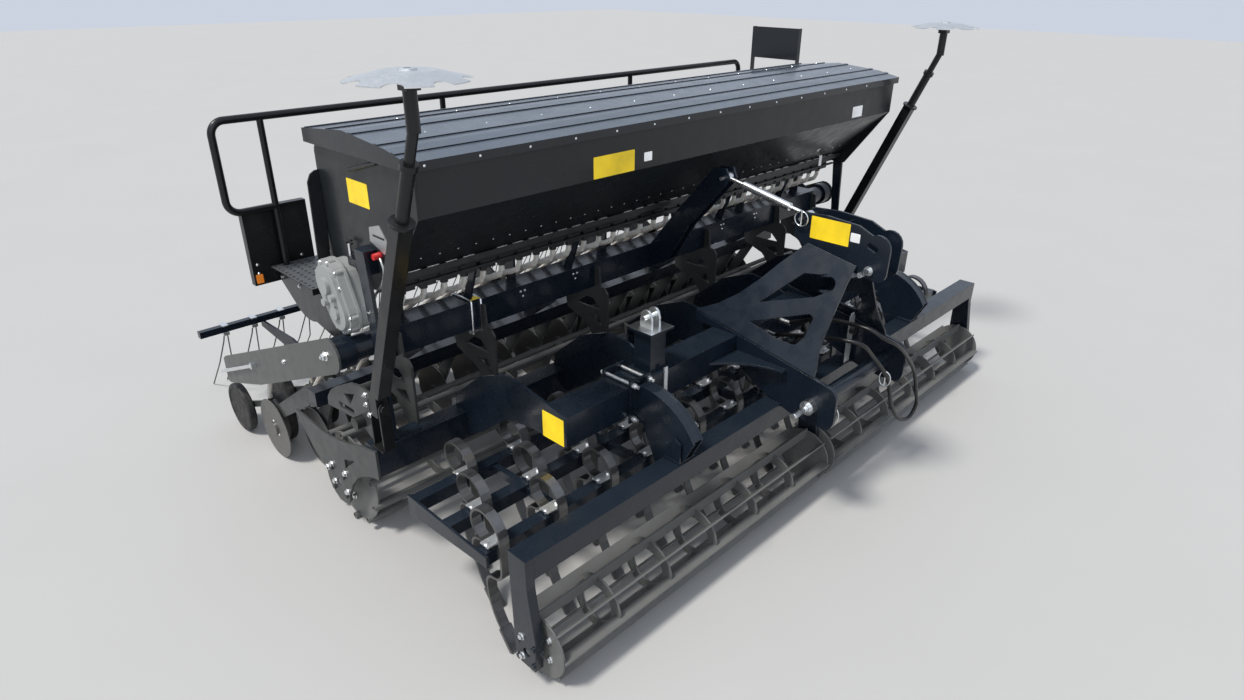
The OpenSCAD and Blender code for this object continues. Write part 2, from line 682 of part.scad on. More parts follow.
module coulter_bar() {
    front = drill_beam_rear + seat;
    color(navy) {
        translate([-end_x + 30, coulter_bar_y, coulter_bar_z]) cube([2 * end_x - 60, coulter_bar_s, coulter_bar_s]);
        both() for (x = [1440, 560]) side_plate(x, 14) polygon([[front, drill_beam_z], [front, drill_beam_top - 60],
            [front + 30, drill_beam_top - 60], [front + 150, 860], [coulter_bar_y + coulter_bar_s, coulter_bar_z + coulter_bar_s + 20],
            [coulter_bar_y + coulter_bar_s, coulter_bar_z + coulter_bar_s], [coulter_bar_y, coulter_bar_z + coulter_bar_s],
            [front + 120, 780]]);
    }
}

disc_front_y = 2150;
disc_rear_y = 2413;
wheel_back = 420;
wheel_face = 8;
boot_top = 345;
hub_r = 22;

// Places across the machine of the rows whose number has the same remainder
function row_x(odd) = [for (i = [0:rows - 1]) if (i % 2 == odd) (i - (rows - 1) / 2) * row_pitch];

// A coulter's trailing arm, beside its disc, with the press wheel's arm behind
module coulter_outline(hub_y) {
    bar_rear = coulter_bar_y + coulter_bar_s + seat;
    difference() {
        union() {
            polygon([[bar_rear, coulter_bar_z - 20], [bar_rear, coulter_bar_z + coulter_bar_s - 5],
                [bar_rear + 60, coulter_bar_z + coulter_bar_s - 20], [hub_y - 40, 330], [hub_y + 30, 190],
                [hub_y - 28, 160], [hub_y - 90, 270], [bar_rear + 40, coulter_bar_z - 40]]);
            polygon([[hub_y - 60, 330], [hub_y - 10, 352], [hub_y + wheel_back + 18, 165],
                [hub_y + wheel_back + 6, 130], [hub_y + 40, 295]]);
            translate([hub_y, disc_r]) circle(r = 34);
            translate([hub_y + wheel_back, wheel_r]) circle(r = 24);
        }
        translate([hub_y, disc_r]) circle(r = hub_r + run_gap);
        translate([hub_y + wheel_back, wheel_r]) circle(r = 10 + run_gap);
    }
}

module coulters(odd, hub_y) {
    color(grey) for (x = row_x(odd)) {
        side_plate(x + (x < 0 ? 22 : -22), 16) coulter_outline(hub_y);
        // Seed boot beside the disc
        side_plate(x + (x < 0 ? 22 : -22), 16) polygon([[hub_y + 30, boot_top], [hub_y + 64, boot_top], [hub_y + 110, 60],
            [hub_y + 84, 52], [hub_y + 30, 250]]);
    }
}

module coulters_front() { coulters(1, disc_front_y); }
module coulters_rear() { coulters(0, disc_rear_y); }

module discs(odd, hub_y) {
    color(steel) for (x = row_x(odd)) {
        s = x < 0 ? 1 : -1;
        x_rod(x - disc_t / 2, x + disc_t / 2, hub_y, disc_r, disc_r);
        translate([x, 0, 0]) mirror([s < 0 ? 1 : 0, 0, 0]) {
            x_rod(-12, 12, hub_y, disc_r, 40);
            x_rod(12, 38, hub_y, disc_r, hub_r);
        }
    }
}

module discs_front() { discs(1, disc_front_y); }
module discs_rear() { discs(0, disc_rear_y); }

module press_wheels(odd, hub_y) {
    y = hub_y + wheel_back;
    color(rubber) for (x = row_x(odd)) translate([x, 0, 0]) mirror([x < 0 ? 0 : 1, 0, 0]) {
        translate([wheel_face - wheel_w, y, wheel_r]) rotate([0, 90, 0]) rotate_extrude() polygon(concat(
            [[8, 4], [wheel_r - 30, 4], [wheel_r - 26, 0]], arc([wheel_r - 14, 13], 14, -60, 0, 3),
            arc([wheel_r - 14, wheel_w - 13], 14, 0, 60, 3), [[wheel_r - 26, wheel_w], [wheel_r - 30, wheel_w - 4], [8, wheel_w - 4]]));
        x_rod(wheel_face - wheel_w + 2, 30, y, wheel_r, 10);
        x_rod(wheel_face - 6, 13, y, wheel_r, 18);
    }
}

module press_wheels_front() { press_wheels(1, disc_front_y); }
module press_wheels_rear() { press_wheels(0, disc_rear_y); }

// A round tube swept along a smooth path: rings of sides points about each point of the path
function path_dir(p, i) = p[min(i + 1, len(p) - 1)] - p[max(i - 1, 0)];
function ring_at(c, d, r, n, side) = let(u = d / norm(d), a = cross(u, side), e = a / norm(a), f = cross(u, e))
    [for (k = [0:n - 1]) c + r * (cos(k * 360 / n) * e + sin(k * 360 / n) * f)];
function bezier(a, b, c, d, t) = (1 - t) ^ 3 * a + 3 * (1 - t) ^ 2 * t * b + 3 * (1 - t) * t ^ 2 * c + t ^ 3 * d;
module sweep(p, r, n, side = [1, 0, 0]) {
    rings = [for (i = [0:len(p) - 1]) ring_at(p[i], path_dir(p, i), r, n, side)];
    polyhedron(points = [for (q = rings) each q], faces = concat(
        [[for (k = [0:n - 1]) k]], [[for (k = [n - 1:-1:0]) (len(p) - 1) * n + k]],
        [for (i = [0:len(p) - 2], k = [0:n - 1]) [i * n + k, (i + 1) * n + k, (i + 1) * n + (k + 1) % n, i * n + (k + 1) % n]]));
}

// Hydraulic hose: from the box beam forward between the cheeks, down in a loop beside the left arm and back
hose_r = 11;
hose_line = [[-100, 400, 815], [-98, 190, 872], [-60, -40, 900], [58, -80, 796], [196, -110, 636], [293, -110, 455],
    [420, -112, 310], [550, -118, 262], [600, -126, 330], [545, -134, 430], [428, -142, 617], [190, -150, 826],
    [70, -110, 905], [33, -20, 945], [32, 190, 925], [30, 400, 842]];
function smooth(p, i, t) = let(a = p[max(i - 1, 0)], b = p[i], c = p[i + 1], d = p[min(i + 2, len(p) - 1)])
    b + 0.5 * t * (c - a + t * (2 * a - 5 * b + 4 * c - d + t * (3 * (b - c) + d - a)));
function hose_end(p, y) = [p[0], y, p[2]];
module hydraulic_hose() {
    face = box_y - seat;
    last = len(hose_line) - 1;
    color(black) sweep(concat([hose_end(hose_line[0], face), hose_end(hose_line[0], face - 20)],
        [for (i = [0:last - 1], k = [0:3]) smooth(hose_line, i, k / 4)],
        [hose_line[last], hose_end(hose_line[last], face - 20), hose_end(hose_line[last], face)]),
        hose_r, 8, [0.5, 0.6, 0.62]);
}

// Seed tubes: from the metering outlets back over the drill's main beam and down to the seed boots
tube_sides = 8;
tube_steps = 8;
outlet_y = (funnel_front_y + funnel_rear_y) / 2 - 20;
outlet_z = 1230;
module seed_tubes() {
    color(clear_plastic) for (i = [0:rows - 1]) {
        x = (i - (rows - 1) / 2) * row_pitch;
        top_x = x * outlet_pitch / row_pitch;
        low_x = x + (x < 0 ? 22 : -22);
        boot_y = (i % 2 == 1 ? disc_front_y : disc_rear_y) + 47;
        over = [top_x + (low_x - top_x) * 0.1, drill_beam_rear + 22, drill_beam_top + 24];
        sweep(concat([[top_x, outlet_y, outlet_z - seat]],
            [for (k = [0:3]) bezier([top_x, outlet_y, outlet_z - 24], [top_x, outlet_y, outlet_z - 80],
                over + [0, -100, 60], over, k / 4)],
            [for (k = [0:tube_steps]) bezier(over, over + [0, 300, -240],
                [low_x, boot_y, 560], [low_x, boot_y, boot_top + 30], k / tube_steps)],
            [[low_x, boot_y, boot_top + seat]]), seed_tube_r - 3, tube_sides);
    }
}

// Hopper

// Front wall: upright band, sloping wall and the front half of the floor
floor_joint = (funnel_front_y + funnel_rear_y) / 2;
module hopper_front() {
    color(anthracite) translate([-hopper_l / 2, 0, 0]) rotate([90, 0, 90]) linear_extrude(hopper_l) polygon([
        [hopper_front_y, rim_z], [hopper_front_y, band_z], [funnel_front_y, funnel_z + 30], [funnel_front_y, funnel_z],
        [floor_joint - seat / 2, funnel_z], [floor_joint - seat / 2, funnel_z + wall_t],
        [funnel_front_y + wall_t, funnel_z + wall_t], [funnel_front_y + wall_t, funnel_z + 33],
        [hopper_front_y + wall_t, band_z + 3], [hopper_front_y + wall_t, rim_z]]);
}

module hopper_rear() {
    color(anthracite) translate([-hopper_l / 2, 0, 0]) rotate([90, 0, 90]) linear_extrude(hopper_l) polygon([
        [floor_joint + seat / 2, funnel_z], [funnel_rear_y, funnel_z], [funnel_rear_y, funnel_z + 30],
        [hopper_rear_y, funnel_z + 250], [hopper_rear_y, rim_z], [hopper_rear_y - wall_t, rim_z],
        [hopper_rear_y - wall_t, funnel_z + 253], [funnel_rear_y - wall_t, funnel_z + 33],
        [funnel_rear_y - wall_t, funnel_z + wall_t], [floor_joint + seat / 2, funnel_z + wall_t]]);
}

// End panels of the hopper
strut_x = hopper_l / 2 + 24;
stud_r = 4;
module hopper_ends() {
    color(anthracite) both() {
        side_plate(hopper_l / 2 + seat + 5, 10) polygon(concat(
            [[hopper_front_y, rim_z], [hopper_front_y, band_z], [1130, 1330], [1160, funnel_z - 10]],
            arc([hopper_rear_y - 20, funnel_z + 10], 20, -90, 0, 3), arc([hopper_rear_y - 40, rim_z - 40], 40, 0, 90, 4)));
    }
}

lid_hinge_y = hopper_front_y - 8;
lid_hinge_z = rim_z + 12;
lid_rear = hopper_rear_y + 20;
module lid() {
    half = hopper_l / 2 + 40;
    // Top line of the lid: [distance behind pins, height above the rim]
    top = [[hopper_front_y - 16, 32], [1010, 62], [1320, 88], [lid_rear, 54]];
    low = rim_z + 4;
    color(anthracite) {
        translate([-half, 0, 0]) rotate([90, 0, 90]) linear_extrude(2 * half) polygon(concat(
            [[top[0][0], low - 24 + 20]], [for (p = top) [p[0], low + p[1]]], [[lid_rear, low - 2]],
            [[lid_rear - lid_t, low - 2]], [for (i = [3:-1:0]) [top[i][0] + (i == 0 ? lid_t : i == 3 ? -lid_t : 0),
            low + top[i][1] - lid_t]], [[top[0][0] + lid_t, low - 24 + 20]]));
        both() side_plate(half - lid_t / 2, lid_t) polygon(concat([[top[0][0] + lid_t, low - 2]],
            [for (i = [0:3]) [top[i][0] + (i == 0 ? lid_t : i == 3 ? -lid_t : 0), low + top[i][1] - lid_t]],
            [[lid_rear - lid_t, low - 2]]));
        both() x_rod(strut_x + ball_half + seat, half - 2, strut_lid[0], strut_lid[1], stud_r);
        // Raised ribs along the lid
        for (s = [[0, 0.55], [1, 0.15], [1, 0.75], [2, 0.3], [2, 0.85]]) {
            a = top[s[0]];
            b = top[s[0] + 1];
            p = a + (b - a) * s[1];
            translate([-half, p[0], low + p[1] - 3]) rotate([atan2(b[1] - a[1], b[0] - a[0]), 0, 0]) cube([2 * half, 22, 8]);
        }
    }
}

module metering_units() {
    color(black) {
        for (i = [0:rows - 1]) {
            x = (i - (rows - 1) / 2) * outlet_pitch;
            translate([x - 42, funnel_front_y + 15, outlet_z + 22]) cube([84, 115, funnel_z - outlet_z - 22 - seat]);
            translate([x, outlet_y, outlet_z]) cylinder(h = 24, r = 19);
        }
    }
    color(black) {
        translate([-hopper_l / 2 + 10, funnel_front_y + 2, funnel_z - 30]) cube([hopper_l - 20, 14, 12]);
        // Shutter rail under the sloping front wall
        translate([-hopper_l / 2 + 10, funnel_front_y - 45, funnel_z + 30]) cube([hopper_l - 20, 16, 27]);
    }
}

// The gearbox cover's egg shape: a larger circle above and a smaller one below
gear_top = [1492, 1288];
gear_low = [1426, 1166];
module gear_outline(cut) {
    lean = atan2(gear_top[1] - gear_low[1], gear_top[0] - gear_low[0]);
    polygon(concat(arc(gear_top, 108 - cut, lean - 94, lean + 94, 14), arc(gear_low, 98 - cut, lean + 94, lean + 266, 14)));
}

module gearbox() {
    x0 = hopper_l / 2 + 10 + 2 * seat;
    // [distance from the hopper's end, thickness, how far inside the outline]
    layers = [[0, 52, 12], [50, 14, 0], [62, 36, 8], [96, 18, 26]];
    color(grey) mirror([1, 0, 0]) {
        for (l = layers) side_plate(x0 + l[0] + l[1] / 2, l[1]) gear_outline(l[2]);
        for (a = [-60:40:180]) x_rod(x0 + 60, x0 + 92, gear_top[0] + 96 * cos(a), gear_top[1] + 96 * sin(a), 12);
        for (a = [180:40:300]) x_rod(x0 + 60, x0 + 92, gear_low[0] + 86 * cos(a), gear_low[1] + 86 * sin(a), 12);
        x_rod(x0 + 110, x0 + 132, gear_top[0] - 8, gear_top[1] - 6, 38);
        x_rod(x0 + 110, x0 + 126, gear_low[0] + 6, gear_low[1] + 4, 30);
        x_rod(x0 + 110, x0 + 136, (gear_top[0] + gear_low[0]) / 2 + 36, (gear_top[1] + gear_low[1]) / 2 - 20, 17);
        x_rod(x0 + 110, x0 + 136, (gear_top[0] + gear_low[0]) / 2 - 34, (gear_top[1] + gear_low[1]) / 2 + 16, 17);
    }
}

// Plates from the drill's main beam up under the hopper to the turnbuckle
module centre_stay() {
    color(navy) both() side_plate(30, 10) difference() {
        polygon([[drill_beam_y - seat, drill_beam_z], [drill_beam_y - seat, drill_beam_top], [1180, 1260], [900, 1585],
            [820, 1590], [795, 1540], [820, 1500], [1050, 1240], [1190, 1010]]);
        translate([833, 1540]) circle(r = 10 + run_gap);
    }
}

// Rear platform

module platform() {
    half = 1900;
    lip = 30;
    color(anthracite) translate([-half, tread_y, tread_z - tread_t]) cube([2 * half, tread_d, tread_t]);
    color(anthracite) {
        for (y = [tread_y, tread_y + tread_d - tread_t])
            translate([-half, y, tread_z - lip]) cube([2 * half, tread_t, lip - tread_t]);
        // Ears and pins of the folding ladder
        for (s = [0, 1]) translate([0, s == 0 ? ladder_y0 + 12 : ladder_y1 - 20, 0]) {
            translate([half - 20, 0, ladder_z - 14]) cube([ladder_x + 14 - half + 20, 8, tread_z - tread_t - ladder_z + 14]);
            translate([ladder_x, s == 0 ? -16 : 4, ladder_z]) rotate([-90, 0, 0]) cylinder(h = 20, r = ladder_pin_r);
        }
    }
}

module platform_brackets() {
    top = tread_z - 30 - seat;
    rear = drill_beam_rear + seat;
    color(anthracite) both() for (x = [1860, 1000, 200]) side_plate(x, 12) polygon(concat(
        [[rear, drill_beam_top - 20], [tread_y + 5, top], [tread_y + tread_d - 10, top],
        [tread_y + tread_d - 10, top - 40]], arc([1850, 1190], 200, -50, -110, 5), [[rear, drill_beam_z + 20]]));
}

module elbow(p, r, t, a) {
    translate(p) rotate(a) rotate_extrude(angle = 90) translate([r, 0]) circle(r = t);
}

module handrail() {
    near = -2048;
    far = 1750;
    low = 1490;
    b = 60;
    base = tread_z + seat;
    color(black) {
        x_rod(near + b, far - b, rail_y, rail_z, rail_r);
        elbow([near + b, rail_y, rail_z - b], b, rail_r, [90, 0, 0] + [0, -90, 0]);
        elbow([far - b, rail_y, rail_z - b], b, rail_r, [90, 0, 0]);
        translate([near, rail_y, low + b]) cylinder(h = rail_z - low - 2 * b, r = rail_r);
        translate([far, rail_y, base]) cylinder(h = rail_z - b - base, r = rail_r);
        elbow([near + b, rail_y, low + b], b, rail_r, [90, 0, 0] + [0, -180, 0]);
        x_rod(near + b, -1830, rail_y, low, rail_r - 2);
        for (x = [-1830, -860, 580]) translate([x, rail_y, base]) cylinder(h = rail_z - base, r = rail_r - 2);
    }
}

module rear_boards() {
    z0 = 1120;
    y0 = tread_y + tread_d + seat;
    color(black) both() translate([-1985, y0, z0]) {
        cube([310, 4, 370]);
        cube([4, 40, 370]);
        translate([306, 0, 0]) cube([4, 40, 370]);
        translate([0, 0, 366]) cube([310, 40, 4]);
        translate([0, 0, 0]) cube([310, 40, 4]);
    }
    color("orange") both() translate([-1975, y0 + 4, z0 + 10]) cube([30, 8, 40]);
}

// Folding ladder at the platform's left end, folded up
module ladder() {
    w = ladder_y1 - ladder_y0;
    color(anthracite) difference() {
        union() {
            for (y = [ladder_y0, ladder_y1 - 8]) translate([ladder_x - 14, y, ladder_z - 16]) cube([40, 8, 970]);
            for (z = [ladder_z + 250, ladder_z + 500]) translate([ladder_x - 14, ladder_y0 + 8, z]) cube([34, w - 16, 5]);
            translate([ladder_x - 14, ladder_y0 + 8, ladder_z + 740]) cube([5, w - 16, 214]);
            translate([ladder_x - 9, ladder_y0 + 8, ladder_z + 940]) cube([35, w - 16, 5]);
        }
        translate([ladder_x, ladder_y0 - 1, ladder_z]) rotate([-90, 0, 0]) cylinder(h = w + 2, r = ladder_pin_r + run_gap);
    }
}

// Rear harrow

harrow_y = 3219;
harrow_z = 500;
harrow_s = 40;
// Inner face of the harrow's side arms
harrow_x = drill_beam_l / 2 + 37;
module harrow_arms() {
    beam = [drill_beam_y + drill_beam_s / 2, drill_beam_z + drill_beam_s / 2];
    link_x = 1600;
    tube = [2760, 442];
    color(grey) both() side_plate(harrow_x + 5, 10) polygon(concat(arc(beam, 82, 250, 82, 8),
        [[2790, 515], [2825, 490], [2825, 352], [2790, 346], [2312, 512]]));
    color(navy) both() {
        // Collars on the drill beam's round ends
        difference() {
            x_rod(drill_beam_l / 2 - 45, harrow_x + 1, beam[0], beam[1], 73);
            x_rod(drill_beam_l / 2 - 46, drill_beam_l / 2 + seat, beam[0], beam[1], round_end_r + seat);
        }
        // Cross tubes and links back to the harrow's bar
        x_rod(link_x - 10, harrow_x + 1, tube[0], tube[1], 24);
        side_plate(link_x, 14) polygon([[2725, 408], [2725, 478], [2800, 490], [3150, harrow_z - harrow_s / 2 - seat],
            [3244, harrow_z - harrow_s / 2 - seat], [3244, 436], [2800, 396]]);
    }
}

module harrow_bar() {
    half = harrow_x - seat;
    color(navy) translate([-half, harrow_y - harrow_s / 2, harrow_z - harrow_s / 2]) cube([2 * half, harrow_s, harrow_s]);
}

harrow_pitch = 175;
harrow_count = 22;
module harrow_tines() {
    low = harrow_z - harrow_s / 2 - seat;
    color(steel) for (i = [0:harrow_count - 1]) {
        x = (i - (harrow_count - 1) / 2) * harrow_pitch;
        translate([x - 18, harrow_y - 30, harrow_z + harrow_s / 2 + seat]) cube([36, 60, 6]);
        translate([x - 18, harrow_y + harrow_s / 2 + seat, low - 22]) cube([36, 8, harrow_s + 22 + 2 * seat]);
        translate([x - 18, harrow_y - harrow_s / 2, low - 22]) cube([36, harrow_s + seat, 22]);
        for (s = [-1, 1]) sweep([[x + s * 10, harrow_y, low - 22 - seat], [x + s * 14, harrow_y + 20, low - 70],
            [x + s * 38, harrow_y + 115, 235], [x + s * 44, harrow_y + 326, 5]], 4, 6);
    }
}

// Row markers, folded up at both ends. A mirrored module makes the right one.

module marker_frame() {
    translate([marker_x, marker_y, marker_z]) rotate([marker_lean, 0, 0]) children();
}

module marker_arm() {
    // Height above the pivot where the leaning tube starts, so that it passes the fork when it is folded down
    clear_up = 2.2 * fork_top;
    reach = 949;
    collar = 1170;
    bend = 1322;
    foot = [marker_x, marker_y, marker_z];
    top = [marker_x, marker_y - bend * sin(marker_lean), marker_z + bend * cos(marker_lean)];
    color(black) {
        difference() {
            translate(foot - [marker_s / 2 - 3, marker_s / 2, 46]) cube([marker_s - 6, marker_s, 46 + clear_up + 16]);
            translate(foot - [0, 80, 0]) rotate([-90, 0, 0]) cylinder(h = 160, r = marker_pin_r + run_gap);
        }
        difference() {
            marker_frame() translate([-marker_s / 2, -marker_s / 2, -20]) cube([marker_s, marker_s, reach + 20]);
            translate(foot - [50, 100, 200]) cube([100, 200, 200 + clear_up]);
        }
        marker_frame() {
            translate([0, 0, reach - 2]) cylinder(h = 10, r = 48);
            translate([0, 0, reach + 2]) cylinder(h = collar - reach + 2, r = 25);
            translate([0, 0, collar]) cylinder(h = 24, r = 32);
            translate([0, 0, collar + 10]) cylinder(h = bend - collar - 10, r = 19);
        }
        translate(top - [0, 0, 16]) cylinder(h = marker_disc_z - 30 - top[2], r = 23);
        translate([top[0] - 26, top[1] - 26, marker_disc_z - 60]) cube([52, 52, 30]);
        translate([top[0], top[1], marker_disc_z - 40]) cylinder(h = 46, r = 12);
    }
}

module marker_disc() {
    y = marker_y - 1322 * sin(marker_lean);
    color(grey) translate([marker_x, y, marker_disc_z]) difference() {
        union() {
            rotate_extrude() polygon([[12 + run_gap, -28], [34, -28], [34, -8], [90, -4], [marker_disc_r, -30],
                [marker_disc_r, -26], [90, 0], [30, 0], [30, 6], [12 + run_gap, 6]]);
        }
        for (i = [0:7]) rotate([0, 0, i * 45]) translate([marker_disc_r, 0, -40]) cylinder(h = 40, r = 34);
    }
}

module marker_arm_left() { marker_arm(); }
module marker_arm_right() { mirror([1, 0, 0]) marker_arm(); }
module marker_disc_left() { marker_disc(); }
module marker_disc_right() { mirror([1, 0, 0]) marker_disc(); }

// Forks and pins that carry the marker arms on the roller beam's ends
module marker_pivots() {
    low = roller_beam_top + seat;
    inner = marker_s / 2 + 6;
    color(black) both() {
        translate([marker_x - 36, marker_y - inner - 10, low]) cube([72, 2 * inner + 20, 10]);
        for (y = [marker_y - inner - 10, marker_y + inner]) difference() {
            union() {
                translate([marker_x - fork_top, y, low]) cube([2 * fork_top, 10, marker_z - low]);
                translate([marker_x, y, marker_z]) rotate([-90, 0, 0]) cylinder(h = 10, r = fork_top);
            }
            translate([marker_x, y - 1, marker_z]) rotate([-90, 0, 0]) cylinder(h = 12, r = marker_pin_r + run_gap);
        }
    }
    color(zinc) both() translate([marker_x, marker_y - inner - 24, marker_z]) rotate([-90, 0, 0]) {
        cylinder(h = 2 * inner + 48, r = marker_pin_r);
        cylinder(h = 12, r = marker_pin_r + 8);
        translate([0, 0, 2 * inner + 36]) cylinder(h = 12, r = marker_pin_r + 8);
    }
}

// Gas struts between the hopper's ends and the lid
module strut_frame() {
    d = strut_lid - strut_wall;
    translate([strut_x, strut_wall[0], strut_wall[1]]) rotate([atan2(d[1], d[0]) - 90, 0, 0]) children();
}

// Round head at each end of a strut, beside the face of its stud
ball_half = 4;
module ball() {
    rotate([0, 90, 0]) translate([0, 0, -ball_half]) cylinder(h = 2 * ball_half, r = 9);
}

module strut_barrel() {
    color(black) strut_frame() {
        // Ball head and its stud, standing on the hopper's end panel
        ball();
        rotate([0, 90, 0]) translate([0, 0, hopper_l / 2 + 10 + 2 * seat - strut_x])
            cylinder(h = strut_x - hopper_l / 2 - 12, r = stud_r);
        difference() {
            translate([0, 0, 7]) cylinder(h = 223, r = 8);
            translate([0, 0, 20]) cylinder(h = 220, r = 5 + run_gap);
        }
    }
}

module strut_rod() {
    reach = norm(strut_lid - strut_wall);
    color(zinc) strut_frame() {
        translate([0, 0, 25]) cylinder(h = reach - 32, r = 5);
        translate([0, 0, reach]) ball();
    }
}

module strut_barrel_left() { strut_barrel(); }
module strut_barrel_right() { mirror([1, 0, 0]) strut_barrel(); }
module strut_rod_left() { strut_rod(); }
module strut_rod_right() { mirror([1, 0, 0]) strut_rod(); }

place() lower_arms();
place() cheeks();
place() mast();
place() lower_pins();
place() top_link_pin();
place() turnbuckle();
place() box_beam();
place() post();
place() beam_clamps();
place() front_arms();
place() front_beam();
place() front_legs();
place() link_arms();
place() tine_frame();
place() tines_front();
place() tines_middle();
place() tines_rear();
place() tine_clamps();
place() front_roller_right();
place() front_roller_left();
place() roller_beam();
place() roller_end_plates();
place() tube_roller();
place() drill_brackets();
place() side_posts();
place() drill_beam();
place() coulter_bar();
place() coulters_front();
place() coulters_rear();
place() discs_front();
place() discs_rear();
place() press_wheels_front();
place() press_wheels_rear();
place() seed_tubes();
place() hopper_front();
place() hopper_rear();
place() hopper_ends();
place() lid();
place() metering_units();
place() gearbox();
place() centre_stay();
place() platform();
place() platform_brackets();
place() handrail();
place() rear_boards();
place() ladder();
place() harrow_arms();
place() harrow_bar();
place() harrow_tines();
place() marker_arm_right();
place() marker_arm_left();
place() marker_disc_right();
place() marker_disc_left();
place() marker_pivots();
place() strut_barrel_right();
place() strut_barrel_left();
place() strut_rod_right();
place() strut_rod_left();
place() hydraulic_hose();
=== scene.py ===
"""Looks of the seed drill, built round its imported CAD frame."""

import json
import math

import bmesh
import bpy
from mathutils import Matrix, Vector
from mathutils.bvhtree import BVHTree


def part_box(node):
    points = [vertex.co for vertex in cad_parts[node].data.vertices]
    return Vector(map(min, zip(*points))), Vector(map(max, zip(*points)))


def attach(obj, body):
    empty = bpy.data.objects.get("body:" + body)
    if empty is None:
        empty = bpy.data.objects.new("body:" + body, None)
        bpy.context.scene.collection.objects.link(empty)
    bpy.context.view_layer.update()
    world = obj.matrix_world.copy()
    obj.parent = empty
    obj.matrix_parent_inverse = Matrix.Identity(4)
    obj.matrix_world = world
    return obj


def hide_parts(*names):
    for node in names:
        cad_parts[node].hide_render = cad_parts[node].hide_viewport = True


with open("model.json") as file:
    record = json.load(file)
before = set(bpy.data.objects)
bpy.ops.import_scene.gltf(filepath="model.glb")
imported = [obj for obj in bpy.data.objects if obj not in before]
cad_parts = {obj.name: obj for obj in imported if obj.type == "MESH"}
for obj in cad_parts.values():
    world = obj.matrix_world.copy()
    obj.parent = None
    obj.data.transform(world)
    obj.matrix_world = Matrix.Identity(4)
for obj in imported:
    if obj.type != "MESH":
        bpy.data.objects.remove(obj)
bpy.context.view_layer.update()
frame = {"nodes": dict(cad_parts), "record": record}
NODES = frame["nodes"]

# Places are in mm across, behind the lower hitch pins and above the ground.
# The row frame's origin lies this far behind the pins, in metres.
ORIGIN_Y = 1.70996

# Directions, the first of them towards the photo's near end
NEAR_END = (-1, 0, 0)
FORWARD = (0, -1, 0)
REARWARD = (0, 1, 0)
DOWN = (0, 0, -1)

# The near end and the far one, and a distance beyond both, where rays start
SIDES = (-1, 1)
OUTSIDE = 2300


def at(x, y, z):
    """A point given across, behind the hitch pins and up, all in mm, in the row frame."""
    return Vector((x / 1000, y / 1000 - ORIGIN_Y, z / 1000))


def inward(side):
    """From one end of the machine towards its middle."""
    return (-side, 0, 0)


def spaced(first, step, count):
    """Places in a row, a step apart."""
    return [first + step * k for k in range(count)]


# Materials

MATERIALS = {}
DUST = (0.30, 0.27, 0.23)
# Grime fades out at this height in metres
GRIME_TOP = 0.5
EDGE_SAMPLES = 4


